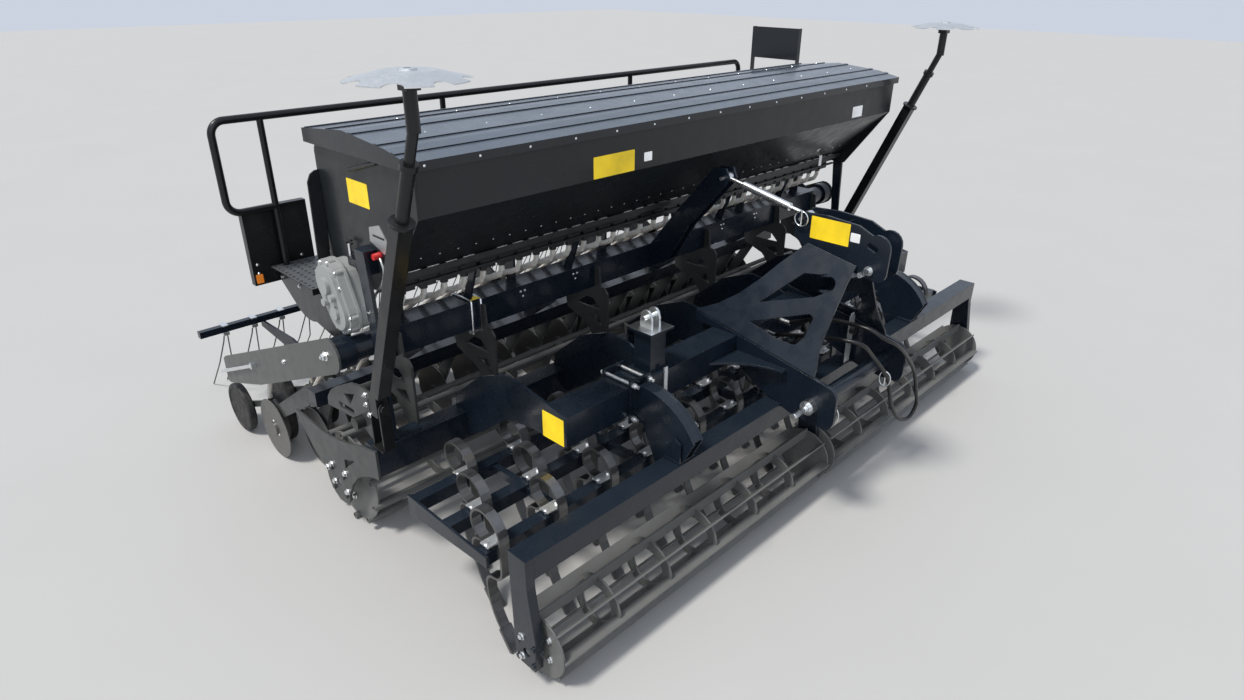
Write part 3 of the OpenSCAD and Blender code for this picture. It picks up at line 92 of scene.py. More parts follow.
class Shader:
    """A short way to build a procedural material, which is kept in MATERIALS."""

    def __init__(self, name):
        self.material = bpy.data.materials.new(name)
        self.material.use_nodes = True
        self.tree = self.material.node_tree
        self.bsdf = self.tree.nodes["Principled BSDF"]
        self.coords = self.node("ShaderNodeTexCoord").outputs["Object"]
        MATERIALS[name] = self.material

    def node(self, kind):
        return self.tree.nodes.new(kind)

    def link(self, output, socket):
        self.tree.links.new(output, socket)

    def feed(self, output, name):
        """Lead an output into that input of the surface."""
        self.link(output, self.bsdf.inputs[name])

    def set(self, **values):
        for name, value in values.items():
            self.bsdf.inputs[name.replace("_", " ")].default_value = value

    def noise(self, scale, detail=4, rough=0.6):
        texture = self.node("ShaderNodeTexNoise")
        texture.inputs["Scale"].default_value = scale
        texture.inputs["Detail"].default_value = detail
        texture.inputs["Roughness"].default_value = rough
        self.link(self.coords, texture.inputs["Vector"])
        return texture.outputs["Fac"]

    def ramp(self, value, low, high, out_low=0.0, out_high=1.0):
        mapped = self.node("ShaderNodeMapRange")
        mapped.inputs["From Min"].default_value = low
        mapped.inputs["From Max"].default_value = high
        mapped.inputs["To Min"].default_value = out_low
        mapped.inputs["To Max"].default_value = out_high
        self.link(value, mapped.inputs["Value"])
        return mapped.outputs["Result"]

    def combine(self, kind, first, second):
        """Two values or numbers joined by one kind of sum or test."""
        joined = self.node("ShaderNodeMath")
        joined.operation = kind
        for index, value in enumerate((first, second)):
            if isinstance(value, (int, float)):
                joined.inputs[index].default_value = value
            else:
                self.link(value, joined.inputs[index])
        return joined.outputs[0]

    def mix(self, factor, first, second):
        """Two colours, the second where the factor is 1."""
        mixed = self.node("ShaderNodeMix")
        mixed.data_type = "RGBA"
        self.link(factor, mixed.inputs["Factor"])
        for name, value in (("A", first), ("B", second)):
            socket = [s for s in mixed.inputs if s.name == name and s.type == "RGBA"][0]
            if isinstance(value, tuple):
                socket.default_value = (*value, 1)
            else:
                self.link(value, socket)
        return [s for s in mixed.outputs if s.type == "RGBA"][0]

    def blotches(self, color, other, scale, detail=4, high=0.7):
        """Large soft patches of two colours."""
        return self.mix(self.ramp(self.noise(scale, detail), 0.3, high), color, other)

    def mottled_gloss(self, low, high, scale, detail):
        """A roughness that varies between two values."""
        self.feed(self.ramp(self.noise(scale, detail), 0.3, 0.8, low, high), "Roughness")

    def along(self, axis):
        """Place along one axis of the object's own coordinates."""
        parts = self.node("ShaderNodeSeparateXYZ")
        self.link(self.coords, parts.inputs[0])
        return parts.outputs[axis]

    def upward(self):
        """Near 1 where the surface faces up."""
        geometry = self.node("ShaderNodeNewGeometry")
        parts = self.node("ShaderNodeSeparateXYZ")
        self.link(geometry.outputs["Normal"], parts.inputs[0])
        return self.ramp(parts.outputs["Z"], 0.3, 0.95)

    def bump(self, value, strength, distance, edge=0):
        """Small unevenness, and edges that look rounded by a radius in metres."""
        relief = self.node("ShaderNodeBump")
        if edge:
            soft = self.node("ShaderNodeBevel")
            soft.samples = EDGE_SAMPLES
            soft.inputs["Radius"].default_value = edge
            self.link(soft.outputs["Normal"], relief.inputs["Normal"])
        relief.inputs["Strength"].default_value = strength
        relief.inputs["Distance"].default_value = distance
        self.link(value, relief.inputs["Height"])
        self.feed(relief.outputs["Normal"], "Normal")


def lighter(color, times):
    return tuple(part * times for part in color)


def painted(name, color, rough=0.3, coat=0.1, dust=0.05, light=1.35, top=None):
    """Gloss or satin paint with a little dust on what faces up, and grime near the ground; a top colour,
    where given, is a painted sheen on what faces up.
    """
    paint = Shader(name)
    tone = paint.blotches(color, lighter(color, light), scale=3.2)
    # Painted sheen: a lighter top colour on what faces up, in soft patches, stands in for the sky's
    # reflection.
    if top:
        patches = paint.ramp(paint.noise(scale=2.2, detail=5), 0.25, 0.75, 0.75, 1.0)
        tone = paint.mix(paint.combine("MULTIPLY", paint.upward(), patches), tone, top)
    film = paint.ramp(paint.noise(scale=6, detail=5), 0.35, 0.8, 0, dust)
    settled = paint.combine("MULTIPLY", paint.upward(), film)
    grain = paint.ramp(paint.noise(scale=38, detail=6, rough=0.7), 0.45, 0.75)
    low = paint.ramp(paint.along("Z"), 0.0, GRIME_TOP, dust * 1.2, 0.0)
    grime = paint.combine("MULTIPLY", low, grain)
    paint.feed(paint.mix(paint.combine("MAXIMUM", settled, grime), tone, DUST), "Base Color")
    paint.mottled_gloss(rough, rough + 0.22, scale=14, detail=5)
    paint.bump(paint.noise(scale=240, detail=2), strength=0.05, distance=0.001, edge=0.004)
    paint.set(Coat_Weight=coat, Coat_Roughness=0.1, Specular_IOR_Level=0.3)


def metal(name, color, rough, tint):
    """Bare or plated metal with blotches of a second tint and fine unevenness."""
    steel = Shader(name)
    blot = steel.ramp(steel.noise(scale=18, detail=6), 0.35, 0.75, 0, 0.5)
    steel.feed(steel.mix(blot, color, tint), "Base Color")
    fine = steel.noise(scale=120, detail=3)
    steel.feed(steel.ramp(fine, 0.3, 0.8, rough, rough + 0.25), "Roughness")
    steel.bump(fine, strength=0.12, distance=0.0008)
    steel.set(Metallic=1.0)


def dull(name, color, rough, mud=0.2, bump=0.2):
    """Rubber and plastic."""
    skin = Shader(name)
    tone = skin.blotches(color, lighter(color, 1.5), scale=5)
    dirt = skin.ramp(skin.noise(scale=24, detail=6, rough=0.7), 0.45, 0.8, 0, mud)
    skin.feed(skin.mix(dirt, tone, DUST), "Base Color")
    skin.mottled_gloss(rough, min(rough + 0.2, 1), scale=30, detail=4)
    skin.bump(skin.noise(scale=180, detail=3), strength=bump, distance=0.001)


def milky(name, shade, bright):
    """Pale hose that lets a little light through."""
    skin = Shader(name)
    skin.feed(skin.blotches(shade, bright, scale=9, detail=5, high=0.75), "Base Color")
    skin.mottled_gloss(0.28, 0.5, scale=30, detail=4)
    skin.bump(skin.noise(scale=60, detail=2), strength=0.1, distance=0.001)
    skin.set(Transmission_Weight=0.12, Subsurface_Weight=0.1)


def tread(name, color, painted_shade):
    """Perforated tread: the shade in its holes is painted as dark dots on what faces up, and its sides are
    painted dark as shade too.
    """
    plate = Shader(name)
    dots = plate.node("ShaderNodeTexVoronoi")
    dots.inputs["Scale"].default_value = 26
    dots.inputs["Randomness"].default_value = 0
    plate.link(plate.coords, dots.inputs["Vector"])
    from_dot = dots.outputs["Distance"]
    flat = plate.blotches(color, lighter(color, 1.25), scale=6, detail=5)
    # Painted shade: dark dots for the holes on upward faces, and every face that does not face up is dark
    # as well.
    side = plate.combine("SUBTRACT", 1.0, plate.upward())
    hole_shade = plate.combine("MULTIPLY", plate.combine("LESS_THAN", from_dot, 0.27), plate.upward())
    plate.feed(plate.mix(plate.combine("MAXIMUM", hole_shade, side), flat, painted_shade), "Base Color")
    plate.bump(plate.ramp(from_dot, 0.2, 0.4), strength=0.4, distance=0.002)
    plate.set(Roughness=0.42, Specular_IOR_Level=0.35)


def plated_above(name, height, low, rough=0.28):
    """One colour below a height in metres, and bright plating above it."""
    steel = Shader(name)
    plated = steel.combine("GREATER_THAN", steel.along("Z"), height)
    steel.feed(steel.mix(plated, low, (0.85, 0.87, 0.88)), "Base Color")
    steel.feed(plated, "Metallic")
    steel.bump(steel.noise(scale=240, detail=2), strength=0.05, distance=0.001, edge=0.003)
    steel.set(Roughness=rough)


def painted_outside(name, half_width, within, beyond):
    """One paint within a distance from the middle in metres, and another beyond it."""
    paint = Shader(name)
    outside = paint.combine("GREATER_THAN", paint.combine("ABSOLUTE", paint.along("X"), 0), half_width)
    paint.feed(paint.mix(outside, within, beyond), "Base Color")
    paint.mottled_gloss(0.25, 0.42, scale=14, detail=5)
    paint.set(Specular_IOR_Level=0.3)


# The navy's top colour is painted sheen: its upward faces are lighter, as the sky's reflection.
painted("navy_paint", (0.0048, 0.0085, 0.0150), rough=0.2, coat=0.25, dust=0.012, top=(0.010, 0.016, 0.025))
painted("anthracite_paint", (0.0070, 0.0092, 0.0120), rough=0.2, coat=0.2, dust=0.015)
# The lid's top colour is painted sheen: its upward faces are much lighter, as the sky's reflection.
painted("lid_paint_and_sheen", (0.0085, 0.0105, 0.0135), rough=0.2, coat=0.3, dust=0.03, top=(0.075, 0.095, 0.125))
painted("hopper_paint", (0.010, 0.0120, 0.0140), rough=0.24, coat=0.12, dust=0.02)
painted("grey_paint", (0.034, 0.037, 0.037), dust=0.08)
painted("black_paint", (0.0055, 0.0060, 0.0068), rough=0.24, coat=0.15)
painted("roller_paint", (0.105, 0.107, 0.104), rough=0.36, coat=0.05, dust=0.12)
painted("cast_paint", (0.28, 0.29, 0.285), rough=0.4, coat=0.05, dust=0.06, light=1.15)
# The tread's second colour is its painted shade, for the holes and sides.
tread("tread_plate", (0.085, 0.09, 0.095), painted_shade=(0.008, 0.008, 0.009))
metal("spring_steel", (0.20, 0.20, 0.20), rough=0.3, tint=(0.12, 0.12, 0.12))
metal("bare_steel", (0.23, 0.225, 0.22), rough=0.34, tint=(0.15, 0.145, 0.14))
metal("zinc_plate", (0.80, 0.82, 0.83), rough=0.2, tint=(0.58, 0.60, 0.61))
metal("bright_zinc", (0.93, 0.95, 0.96), rough=0.38, tint=(0.78, 0.80, 0.82))
metal("disc_plate", (0.70, 0.72, 0.73), rough=0.35, tint=(0.55, 0.57, 0.58))
metal("scale_plate", (0.55, 0.56, 0.56), rough=0.35, tint=(0.42, 0.43, 0.43))
dull("black_rubber", (0.010, 0.010, 0.011), rough=0.6)
dull("hose_rubber", (0.004, 0.004, 0.0045), rough=0.3, mud=0.0, bump=0.1)
dull("black_plastic", (0.008, 0.008, 0.009), rough=0.35, mud=0.06)
dull("yellow_plate", (0.78, 0.55, 0.012), rough=0.35, mud=0.04, bump=0.03)
dull("white_plate", (0.72, 0.72, 0.71), rough=0.4, mud=0.04, bump=0.03)
dull("orange_reflector", (0.85, 0.25, 0.03), rough=0.2, mud=0.04, bump=0.05)
dull("red_knob", (0.45, 0.02, 0.02), rough=0.3, mud=0.05, bump=0.05)
milky("pale_tube", shade=(0.52, 0.50, 0.45), bright=(0.74, 0.72, 0.67))

# The clevis on the post is plated, and so are the harrow's wires from just below their bar upwards
NAVY = (0.0055, 0.0095, 0.0165)
WIRE_GREY = (0.05, 0.05, 0.05)
CLEVIS_HEIGHT = 0.085
PLATED_BELOW_BAR = 0.028
plated_above("post_and_clevis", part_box("post")[1][2] - CLEVIS_HEIGHT, NAVY)
plated_above("harrow_wires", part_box("harrow_bar")[0][2] - PLATED_BELOW_BAR, WIRE_GREY, rough=0.35)

# The harrow arms are grey on the outside only
ARM_GREY = (0.062, 0.067, 0.064)
ARM_OUTSIDE = 1.9862
painted_outside("harrow_arm_sides", ARM_OUTSIDE, within=NAVY, beyond=ARM_GREY)

# Finer shades within the record's slots, as the photo shows them
LOOK = {
    "front_beam": "navy_paint",
    "front_legs": "navy_paint",
    # The lid's paint carries a painted sheen on its top.
    "lid": "lid_paint_and_sheen",
    "post": "post_and_clevis",
    "tine_clamps": "bright_zinc",
    "beam_clamps": "bright_zinc",
    "hopper_front": "hopper_paint",
    "hopper_ends": "hopper_paint",
    "gearbox": "cast_paint",
    "harrow_arms": "harrow_arm_sides",
    "front_roller_right": "roller_paint",
    "front_roller_left": "roller_paint",
    "tube_roller": "roller_paint",
    "platform": "tread_plate",
    "marker_disc_right": "disc_plate",
    "marker_disc_left": "disc_plate",
    "harrow_tines": "harrow_wires",
    "tines_front": "spring_steel",
    "tines_middle": "spring_steel",
    "tines_rear": "spring_steel",
    "hydraulic_hose": "hose_rubber",
}

record_slots = {part["node"]: part["material_slot"] for part in frame["record"]["subparts"]}
for name, node in NODES.items():
    node.data.materials.clear()
    node.data.materials.append(MATERIALS[LOOK.get(name, record_slots[name])])


# Places on the solids' surfaces, where small pieces are seated

BODY_OF = {node: body for body, names in frame["record"]["behaviour"]["bodies"].items() for node in names}


def surface():
    """All solids as one surface for rays, and the node that each of its faces belongs to."""
    corners, faces, owners = [], [], []
    for name, node in NODES.items():
        first = len(corners)
        corners += [node.matrix_world @ vertex.co for vertex in node.data.vertices]
        for polygon in node.data.polygons:
            faces.append([first + index for index in polygon.vertices])
            owners.append(name)
    return BVHTree.FromPolygons(corners, faces), owners


SURFACE, FACE_OWNERS = surface()


def seat(start, towards):
    """The first solid met from a start in mm along a direction: the point, the way out and the body."""
    towards = Vector(towards).normalized()
    place, normal, index, _ = SURFACE.ray_cast(at(*start), towards)
    if place is None:
        raise ValueError(f"nothing is met from {start} along {tuple(towards)}")
    if normal.dot(towards) > 0:
        normal = -normal
    return place, normal, BODY_OF[FACE_OWNERS[index]]


# Small pieces are gathered into one mesh for each group, body and material

GATHERED = {}


def gathered(group, body, material):
    key = (group, body, material)
    if key not in GATHERED:
        GATHERED[key] = bmesh.new()
    return GATHERED[key]


def basis(normal):
    """A turn that takes the Z axis to a direction."""
    out = Vector(normal).normalized()
    if abs(out.z) > 0.9:
        side = out.orthogonal().normalized()
    else:
        side = out.cross(Vector((0, 0, 1))).normalized()
    return Matrix((side, out.cross(side), out)).transposed().to_4x4()


def drum(mesh, place, normal, foot, top, height, sides, lift=0.0):
    """A straight or tapered drum, its radii and height in mm, standing on a place along a normal."""
    out = Vector(normal).normalized()
    middle = Vector(place) + out * (lift + height / 2) / 1000
    bmesh.ops.create_cone(
        mesh,
        cap_ends=True,
        segments=sides,
        radius1=foot / 1000,
        radius2=top / 1000,
        depth=height / 1000,
        matrix=Matrix.Translation(middle) @ basis(out),
    )


def bolt(start, towards, radius, group, nut=False):
    """A hex head on a washer, or a nut with the end of its bolt."""
    place, normal, body = seat(start, towards)
    mesh = gathered(group, body, "zinc_plate")
    # The head starts a little below the washer's top
    washer, head = 2, 1.8
    drum(mesh, place, normal, radius * 1.35, radius * 1.35, washer, 20)
    drum(mesh, place, normal, radius, radius, radius * 0.75, 6, head)
    drum(mesh, place, normal, radius * 0.94, radius * 0.72, radius * 0.16, 6, head + radius * 0.75)
    if nut:
        drum(mesh, place, normal, radius * 0.52, radius * 0.46, radius * 0.55, 14, head + radius * 0.8)


def dome(start, towards, radius, group):
    """The low round head of a rivet or a bolt."""
    place, normal, body = seat(start, towards)
    mesh = gathered(group, body, "zinc_plate")
    drum(mesh, place, normal, radius, radius * 0.8, radius * 0.3, 14)
    drum(mesh, place, normal, radius * 0.8, radius * 0.35, radius * 0.25, 14, radius * 0.3)


def slab(mesh, corners, out, thick):
    """A flat piece with these corners (in the row frame) on its face, that thick in mm towards out."""
    lift = Vector(out).normalized() * thick / 1000
    low = [mesh.verts.new(corner) for corner in corners]
    high = [mesh.verts.new(corner + lift) for corner in corners]
    mesh.faces.new(low)
    mesh.faces.new(list(reversed(high)))
    for k in range(len(low)):
        after = (k + 1) % len(low)
        mesh.faces.new((low[k], high[k], high[after], low[after]))


def rounded(left, right, bottom, top, radius):
    """Corners of a rectangle with round corners, in its own plane."""
    steps = 4
    centres = (
        (right - radius, top - radius, 0),
        (left + radius, top - radius, 90),
        (left + radius, bottom + radius, 180),
        (right - radius, bottom + radius, 270),
    )
    out = []
    for across, up, start in centres:
        for k in range(steps + 1):
            turn = math.radians(start + 90 * k / steps)
            out.append((across + radius * math.cos(turn), up + radius * math.sin(turn)))
    return out


PLATE_THICK = 0.8


def side_label(x, front, rear, bottom, top, material, group="plates"):
    """A blank plate on an upright plane of that x, which faces the near end."""
    corners = [at(x, y, z) for y, z in rounded(front, rear, bottom, top, 4)]
    slab(gathered(group, "frame", material), corners, NEAR_END, PLATE_THICK)


def front_label(y, near, far, bottom, top, material, group="plates"):
    """A blank plate on an upright plane of that y, which faces forward."""
    corners = [at(x, y, z) for x, z in rounded(near, far, bottom, top, 4)]
    slab(gathered(group, "frame", material), corners, FORWARD, PLATE_THICK)


def sticker(start, towards, wide, high, material, group="plates", thick=PLATE_THICK):
    """A blank plate on whatever face is met from a start along a direction."""
    place, normal, body = seat(start, towards)
    turn = basis(normal).to_3x3()
    side, rise = turn.col[0], turn.col[1]
    if rise.z < 0:
        side, rise = -side, -rise
    outline = rounded(-wide / 2, wide / 2, -high / 2, high / 2, 3)
    corners = [place + side * across / 1000 + rise * up / 1000 for across, up in outline]
    slab(gathered(group, body, material), corners, normal, thick)


def box(group, material, low, high):
    """A straight block on the frame between two corners in mm."""
    first, last = at(*low), at(*high)
    place = Matrix.Translation((first + last) / 2) @ Matrix.Diagonal((*(last - first), 1))
    bmesh.ops.create_cube(gathered(group, "frame", material), size=1, matrix=place)


def tube(name, points, radius, material, body="frame", closed=False):
    """A round bar or wire through points given in mm."""
    data = bpy.data.curves.new(name, "CURVE")
    data.dimensions = "3D"
    data.bevel_depth = radius / 1000
    data.bevel_resolution = 6
    data.use_fill_caps = True
    line = data.splines.new("POLY")
    line.points.add(len(points) - 1)
    for k, point in enumerate(points):
        line.points[k].co = (*at(*point), 1)
    line.use_cyclic_u = closed
    line.use_smooth = True
    bar = bpy.data.objects.new(name, data)
    bpy.context.collection.objects.link(bar)
    bar.data.materials.append(MATERIALS[material])
    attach(bar, body)
    return bar


def ring(name, centre, radius, wire, body, stretch=1.0):
    """A zinc wire ring about the X axis, drawn out upright where stretch is over 1."""
    steps = 32
    turned = basis((1, 0, 0)).to_3x3()
    points = []
    for k in range(steps):
        turn = 2 * math.pi * k / steps
        reach = turned @ Vector((radius * math.cos(turn), radius * math.sin(turn) * stretch, 0))
        points.append(tuple(Vector(centre) + reach))
    tube(name, points, wire, "zinc_plate", body, closed=True)


def smooth_line(line, steps):
    """A smooth line through all points of a coarse one."""
    last = len(line) - 1
    out = []
    for k in range(last):
        a, b, c, d = (Vector(line[min(max(index, 0), last)]) for index in (k - 1, k, k + 1, k + 2))
        for step in range(steps):
            t = step / steps
            out.append(b + 0.5 * t * (c - a + t * (2 * a - 5 * b + 4 * c - d + t * (3 * (b - c) + d - a))))
    return out + [Vector(line[-1])]


# Hydraulic hose, along the same points as its solid

HOSE = [
    (-100, 400, 815), (-98, 190, 872), (-60, -40, 900), (58, -80, 796),
    (196, -110, 636), (293, -110, 455), (420, -112, 310), (550, -118, 262),
    (600, -126, 330), (545, -134, 430), (428, -142, 617), (190, -150, 826),
    (70, -110, 905), (33, -20, 945), (32, 190, 925), (30, 400, 842),
]
HOSE_RADIUS = 10.4
# Each end leaves the beam's front straight for this length
HOSE_STRAIGHT = 20
BOX_BEAM_FRONT = 452.7


def hose_start(point):
    """From the box beam's front straight forward, at the place of that end of the hose."""
    return [Vector((point[0], BOX_BEAM_FRONT - out, point[2])) for out in (0, HOSE_STRAIGHT)]


hose_points = hose_start(HOSE[0]) + smooth_line(HOSE, steps=8) + hose_start(HOSE[-1])[::-1]
hose = tube("hydraulic_hose_line", hose_points, radius=HOSE_RADIUS, material="hose_rubber")
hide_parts("hydraulic_hose")


def hose_fitting(end):
    """A hexagon on the beam's front and a round sleeve on it."""
    mesh = gathered("hose_fittings", "frame", "zinc_plate")
    hexagon = 16
    drum(mesh, at(*end), FORWARD, foot=15, top=15, height=hexagon, sides=6)
    drum(mesh, at(*end), FORWARD, foot=13, top=13, height=46, sides=24, lift=hexagon)


# Pieces of each sub-part


def lid_rivets():
    """Along the lid's front edge, and in three staggered rows on its top."""
    before, edge_height = 780, 1868
    for x in spaced(-1770, 245, 14):
        dome((x, before, edge_height), REARWARD, 6, "lid_rivets")
    above, stagger, half_length = 2100, 60, 1760
    for row, y in enumerate((965, 1140, 1440)):
        for x in spaced(-1640 + stagger * row, 298, 12):
            if abs(x) < half_length:
                dome((x, y, above), DOWN, 5, "lid_rivets")


def harrow_arm_bolts(side):
    """The harrow arm's pivot, with a nut, and one bolt further back."""
    pivot, rear = (1447, 985), (1930, 786)
    bolt((OUTSIDE * side, *pivot), inward(side), 17, "harrow_arm_bolts", nut=True)
    bolt((OUTSIDE * side, *rear), inward(side), 9, "harrow_arm_bolts")


def marker_foot_bolts(side):
    """Three in the plate that carries the marker, the rear two with nuts outside."""
    for y, z, nut in ((1268, 838, True), (1268, 790, True), (1206, 772, False)):
        bolt((OUTSIDE * side, y, z), inward(side), 9, "marker_foot_bolts", nut)


def roller_plate_bolts(side):
    """Six on the rear roller's end plate, or on the roller's end where the plate is open."""
    for place in ((1634, 328), (1500, 336), (1627, 233), (1507, 226), (1590, 127), (1690, 285)):
        bolt((OUTSIDE * side, *place), inward(side), 13, "roller_plate_bolts")


def marker_stop(side):
    """Round stop at the marker's foot."""
    place, out, _ = seat((OUTSIDE * side, 1323, 685), inward(side))
    stops = gathered("marker_stops", "frame", "black_plastic")
    drum(stops, place, out, foot=30, top=30, height=42, sides=28)


def platform_bolts(side):
    beside, height = 2070, 1150
    for y in (1900, 2080):
        bolt((beside * side, y, height), inward(side), 8, "platform_bolts")


def board_bolts(side):
    """Four low on each dark board."""
    before = 2000
    for x in (1739, 1958):
        for z in (1178, 1222):
            dome((side * x, before, z), REARWARD, 8, "board_bolts")


def leg_bolts(side):
    """Four at the foot of a front leg, or on the roller's end where the leg leaves it open."""
    for y in (114, 205):
        for z in (126, 224):
            bolt((OUTSIDE * side, y, z), inward(side), 12, "leg_bolts")


def disc_bolts(side):
    """Three round the axle of each row of discs, on whatever is met there first from outside."""
    axle_height, circle = 175, 48
    for axle in (2150, 2413):
        for turn in (math.radians(degrees) for degrees in (90, 210, 330)):
            y, z = axle + circle * math.cos(turn), axle_height + circle * math.sin(turn)
            dome((OUTSIDE * side, y, z), inward(side), 8, "disc_bolts")


def hopper_pins_and_shutters():
    """Small heads along the hopper's lower front, and the bright tabs of the shutters."""
    before, pin_height, half_tab = 700, 1428, 29
    for k, x in enumerate(spaced(-1665, 92.5, 37)):
        dome((x, before, pin_height), REARWARD, 4.5, "hopper_pins")
        if k % 9 != 4:
            box("shutters", "zinc_plate", (x - half_tab, 1193, 1357), (x + half_tab, 1203, 1360))


def beam_bolts(side):
    """Two groups of three on the front of the drill's main beam."""
    before = 1200
    for group_x in (1000, 640):
        for across, z in ((0, 1040), (26, 1040), (13, 1012)):
            dome((side * group_x + across, before, z), REARWARD, 7, "beam_bolts")


def gearbox_bolts():
    """Round the two ends of the gearbox, on its outer face."""
    upper, lower = (1492, 1288), (1426, 1166)
    for centre, circle, turns in ((upper, 96, range(-60, 181, 40)), (lower, 86, range(180, 301, 40))):
        for turn in (math.radians(degrees) for degrees in turns):
            y, z = centre[0] + circle * math.cos(turn), centre[1] + circle * math.sin(turn)
            bolt((-2200, y, z), (1, 0, 0), 7, "gearbox_bolts")


def beam_u_bolts():
    """Two U-bolts round the drill's main beam, with their strap and a blank tag."""
    front, rear, foot, top = 1327, 1480, 905, 1078
    for x in (-1306, -1251):
        legs = [
            (x, rear, foot),
            (x, rear, top - 10),
            (x, rear - 8, top),
            (x, front + 9, top),
            (x, front, top - 8),
            (x, front, foot),
        ]
        tube(f"u_bolt_{-x}", legs, radius=5.5, material="zinc_plate")
    box("u_bolt_strap", "zinc_plate", (-1326, 1322, 915), (-1231, 1332.7, 927))
    box("u_bolt_tag", "yellow_plate", (-1308, 1330, 1079), (-1250, 1366, 1081))


def end_blade(side):
    """Upright flat at the rear edge of the hopper's end panel."""
    outline = [
        (1810.6, 1500),
        (1820, 1325),
        (1876, 1325),
        (1866, 1690),
        (1850, 1722),
        (1828, 1735),
        (1810.6, 1736),
    ]
    corners = [at(side * x, 1626, z) for x, z in outline]
    slab(gathered("end_blades", "frame", "hopper_paint"), corners, REARWARD, thick=8)


def hose_holder():
    """Pale flat on the front beam, with a round clip for the hoses."""
    front = 166
    outline = [(250, 607), (300, 607), (300, 870), (288, 892), (262, 892), (250, 870)]
    corners = [at(x, front, z) for x, z in outline]
    slab(gathered("hose_holder", "frame", "bright_zinc"), corners, REARWARD, thick=5)
    clip = gathered("hose_clip", "frame", "black_plastic")
    drum(clip, at(275, front, 800), FORWARD, foot=24, top=24, height=26, sides=20)


def box_beam_flat():
    """Small upright flat on the front of the box beam."""
    box("upright_flat", "bright_zinc", (-902, 446, 766), (-880, 452.8, 894))


def blank_plates():
    """Blank plates in the places of the photo's stickers, and the boards' reflectors."""
    mast_side, hopper_end, hopper_front = -62, -1810.3, 879
    side_label(mast_side, 75, 280, 1355, 1463, "yellow_plate")
    side_label(mast_side, 21, 69, 1384, 1426, "white_plate", "white_plates")
    sticker((-1700, 536, 796), (1, 0, 0), 132, 125, "yellow_plate")
    sticker((1357, 700, 1446), REARWARD, 26, 26, "white_plate", "white_plates")
    sticker((1528, 700, 1345), REARWARD, 34, 80, "white_plate", "white_plates")
    for side in SIDES:
        sticker((1960 * side, 2000, 1152), REARWARD, 32, 44, "orange_reflector", "reflectors", thick=4)
    side_label(hopper_end, 1228, 1390, 1643, 1743, "yellow_plate")
    front_label(hopper_front, -920, -660, 1673, 1769, "yellow_plate")
    front_label(hopper_front, -595, -541, 1703, 1744, "white_plate", "white_plates")
    front_label(hopper_front, 1310, 1430, 1684, 1750, "white_plate", "white_plates")


def turnbuckle_clip():
    """Pin and ring that keep the turnbuckle's own pin in place."""
    x, y, middle, half_pin = -80, 326, 1441, 37
    pin = [(x, y, middle - half_pin), (x, y, middle + half_pin)]
    tube("turnbuckle_clip", pin, radius=4, material="zinc_plate")
    ring("turnbuckle_ring", (x, y, middle), radius=36, wire=3, body="frame")


def linchpin(side):
    """Pin and ring on the inner side of a lower arm, near its front end."""
    y, height, half_pin = -104, 642, 41
    place, _, body = seat((150 * side, y, height), (side, 0, 0))
    x = place.x * 1000 - 4 * side
    pin = [(x, y, height - half_pin), (x, y, height + half_pin)]
    tube(f"linchpin_{side + 1}", pin, radius=4, material="zinc_plate", body=body)
    ring(f"linchpin_ring_{side + 1}", (x, y, height), radius=30, wire=3, body=body, stretch=1.35)


def harrow_rod(side):
    """Zinc rod of the harrow's setting, outside its arm, and the eye at its upper end."""
    rod_x, eye_x, half_eye = 2007 * side, 2009 * side, 12
    rod = [(rod_x, 2340, 620), (rod_x, 2860, 398)]
    tube(f"harrow_rod_{side + 1}", rod, radius=11, material="zinc_plate")
    box("harrow_rod_eyes", "zinc_plate", (eye_x - half_eye, 2326, 604), (eye_x + half_eye, 2352, 636))


def setting_scale():
    """Scale, lever and knob beside the gearbox, on the near end of the hopper."""
    end_panel = -1810.3
    outline = [(1250, 1568), (1168, 1592), (1102, 1512), (1152, 1474), (1255, 1510)]
    corners = [at(end_panel, y, z) for y, z in outline]
    slab(gathered("scale_plates", "frame", "scale_plate"), corners, NEAR_END, thick=4)
    # The scale's slot is a dark strip on the plate: painted shade where the slot opens.
    box("scale_slots", "black_plastic", (-1816, 1140, 1536), (-1814.4, 1225, 1544))
    lever = [
        (-1818, 1196, 1462),
        (-1824, 1165, 1440),
        (-1824, 1155, 1405),
        (-1824, 1180, 1350),
        (-1824, 1240, 1290),
        (-1822, 1342, 1218),
    ]
    tube("setting_lever", smooth_line(lever, steps=5), radius=6, material="scale_plate")
    knob = gathered("knob", "frame", "red_knob")
    drum(knob, at(-1811, 1192, 1462), NEAR_END, foot=15, top=13, height=34, sides=24)


def setting_screw():
    """Wing screw at the end of its bracket."""
    box("setting_bracket", "anthracite_paint", (-1850, 1260, 1380), (-1811, 1400, 1416))
    x, y, foot, top = -1832, 1405, 1385, 1470
    tube("setting_screw", [(x, y, foot), (x, y, top)], radius=7, material="zinc_plate")
    for degrees in (0, 90):
        turn = math.radians(degrees)
        across, along = 26 * math.cos(turn) * 0.6, 26 * math.sin(turn)
        wing = [(x - across, y - along, top + 2), (x + across, y + along, top + 10)]
        tube(f"setting_wing_{degrees}", wing, radius=5, material="black_plastic")


hose_fitting(hose_points[0])
hose_fitting(hose_points[-1])
lid_rivets()
for side in SIDES:
    harrow_arm_bolts(side)
    marker_foot_bolts(side)
    roller_plate_bolts(side)
    marker_stop(side)
    platform_bolts(side)
    board_bolts(side)
    leg_bolts(side)
    disc_bolts(side)
    beam_bolts(side)
    end_blade(side)
    linchpin(side)
    harrow_rod(side)
hopper_pins_and_shutters()
gearbox_bolts()
beam_u_bolts()
hose_holder()
box_beam_flat()
blank_plates()
turnbuckle_clip()
setting_scale()
setting_screw()

# Every gathered group becomes one piece on its body

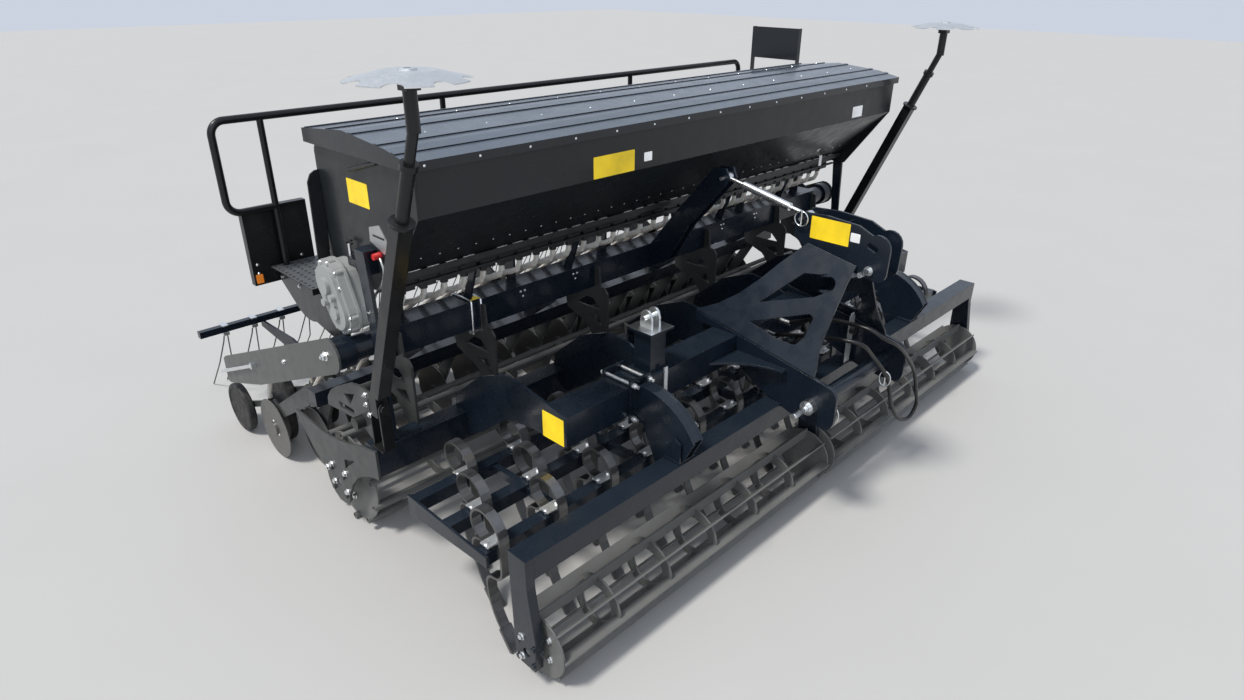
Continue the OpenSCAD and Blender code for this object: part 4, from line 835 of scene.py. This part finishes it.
for (group, body, material), mesh in GATHERED.items():
    bmesh.ops.recalc_face_normals(mesh, faces=mesh.faces)
    data = bpy.data.meshes.new(group)
    mesh.to_mesh(data)
    mesh.free()
    piece = bpy.data.objects.new(f"{group}_{body}", data)
    bpy.context.collection.objects.link(piece)
    data.materials.append(MATERIALS[material])
    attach(piece, body)


# Stage


def pale_floor():
    """A large pale floor just below the machine."""
    concrete = Shader("floor")
    tone = concrete.blotches((0.425, 0.42, 0.41), (0.435, 0.43, 0.42), scale=0.8)
    concrete.feed(tone, "Base Color")
    concrete.set(Roughness=0.85)
    bpy.ops.mesh.primitive_plane_add(size=80, location=(0, 0, -0.0005))
    floor = bpy.context.object
    floor.name = "floor"
    floor.data.materials.append(concrete.material)


def sky(color, strength):
    world = bpy.data.worlds.new("sky")
    bpy.context.scene.world = world
    world.use_nodes = True
    background = world.node_tree.nodes["Background"]
    background.inputs["Color"].default_value = (*color, 1)
    background.inputs["Strength"].default_value = strength


def lamp(name, kind, energy, location, target):
    """A lamp at a location in metres that points at a target; its settings are returned."""
    data = bpy.data.lights.new(name, kind)
    data.energy = energy
    holder = bpy.data.objects.new(name, data)
    bpy.context.collection.objects.link(holder)
    holder.location = location
    holder.rotation_euler = (Vector(target) - Vector(location)).to_track_quat("-Z", "Y").to_euler()
    return data


def photo_camera():
    """Camera of the photo: height 2.5 m, looking down 25.9 degrees."""
    focal_px, wide_px, sensor = 781.3, 1244, 36
    azimuth, elevation, roll = (math.radians(degrees) for degrees in (-45.97, 25.9, 0.48))
    place = at(-3283, -1587, 2500)
    level = math.cos(elevation)
    back = Vector((math.sin(azimuth) * level, -math.cos(azimuth) * level, math.sin(elevation)))
    right = (-back).cross(Vector((0, 0, 1))).normalized()
    up = right.cross(-back)
    right, up = right * math.cos(roll) + up * math.sin(roll), up * math.cos(roll) - right * math.sin(roll)
    data = bpy.data.cameras.new("camera")
    data.sensor_width = sensor
    data.lens = focal_px / wide_px * sensor
    camera = bpy.data.objects.new("camera", data)
    bpy.context.collection.objects.link(camera)
    camera.matrix_world = Matrix.Translation(place) @ Matrix((right, up, back)).transposed().to_4x4()
    bpy.context.scene.camera = camera


pale_floor()
sky((0.80, 0.87, 1.0), strength=0.75)
sun = lamp("sun", "SUN", energy=3.2, location=(-5, 1, 9), target=(0, 0, 0))
sun.color = (1, 0.97, 0.92)
sun.angle = 0.2
fill = lamp("front_fill", "AREA", energy=110, location=(-6, -7, 5), target=(0, 0, 0.8))
fill.shape = "RECTANGLE"
fill.size, fill.size_y = 6, 4
photo_camera()
bpy.context.scene.view_settings.view_transform = "Standard"
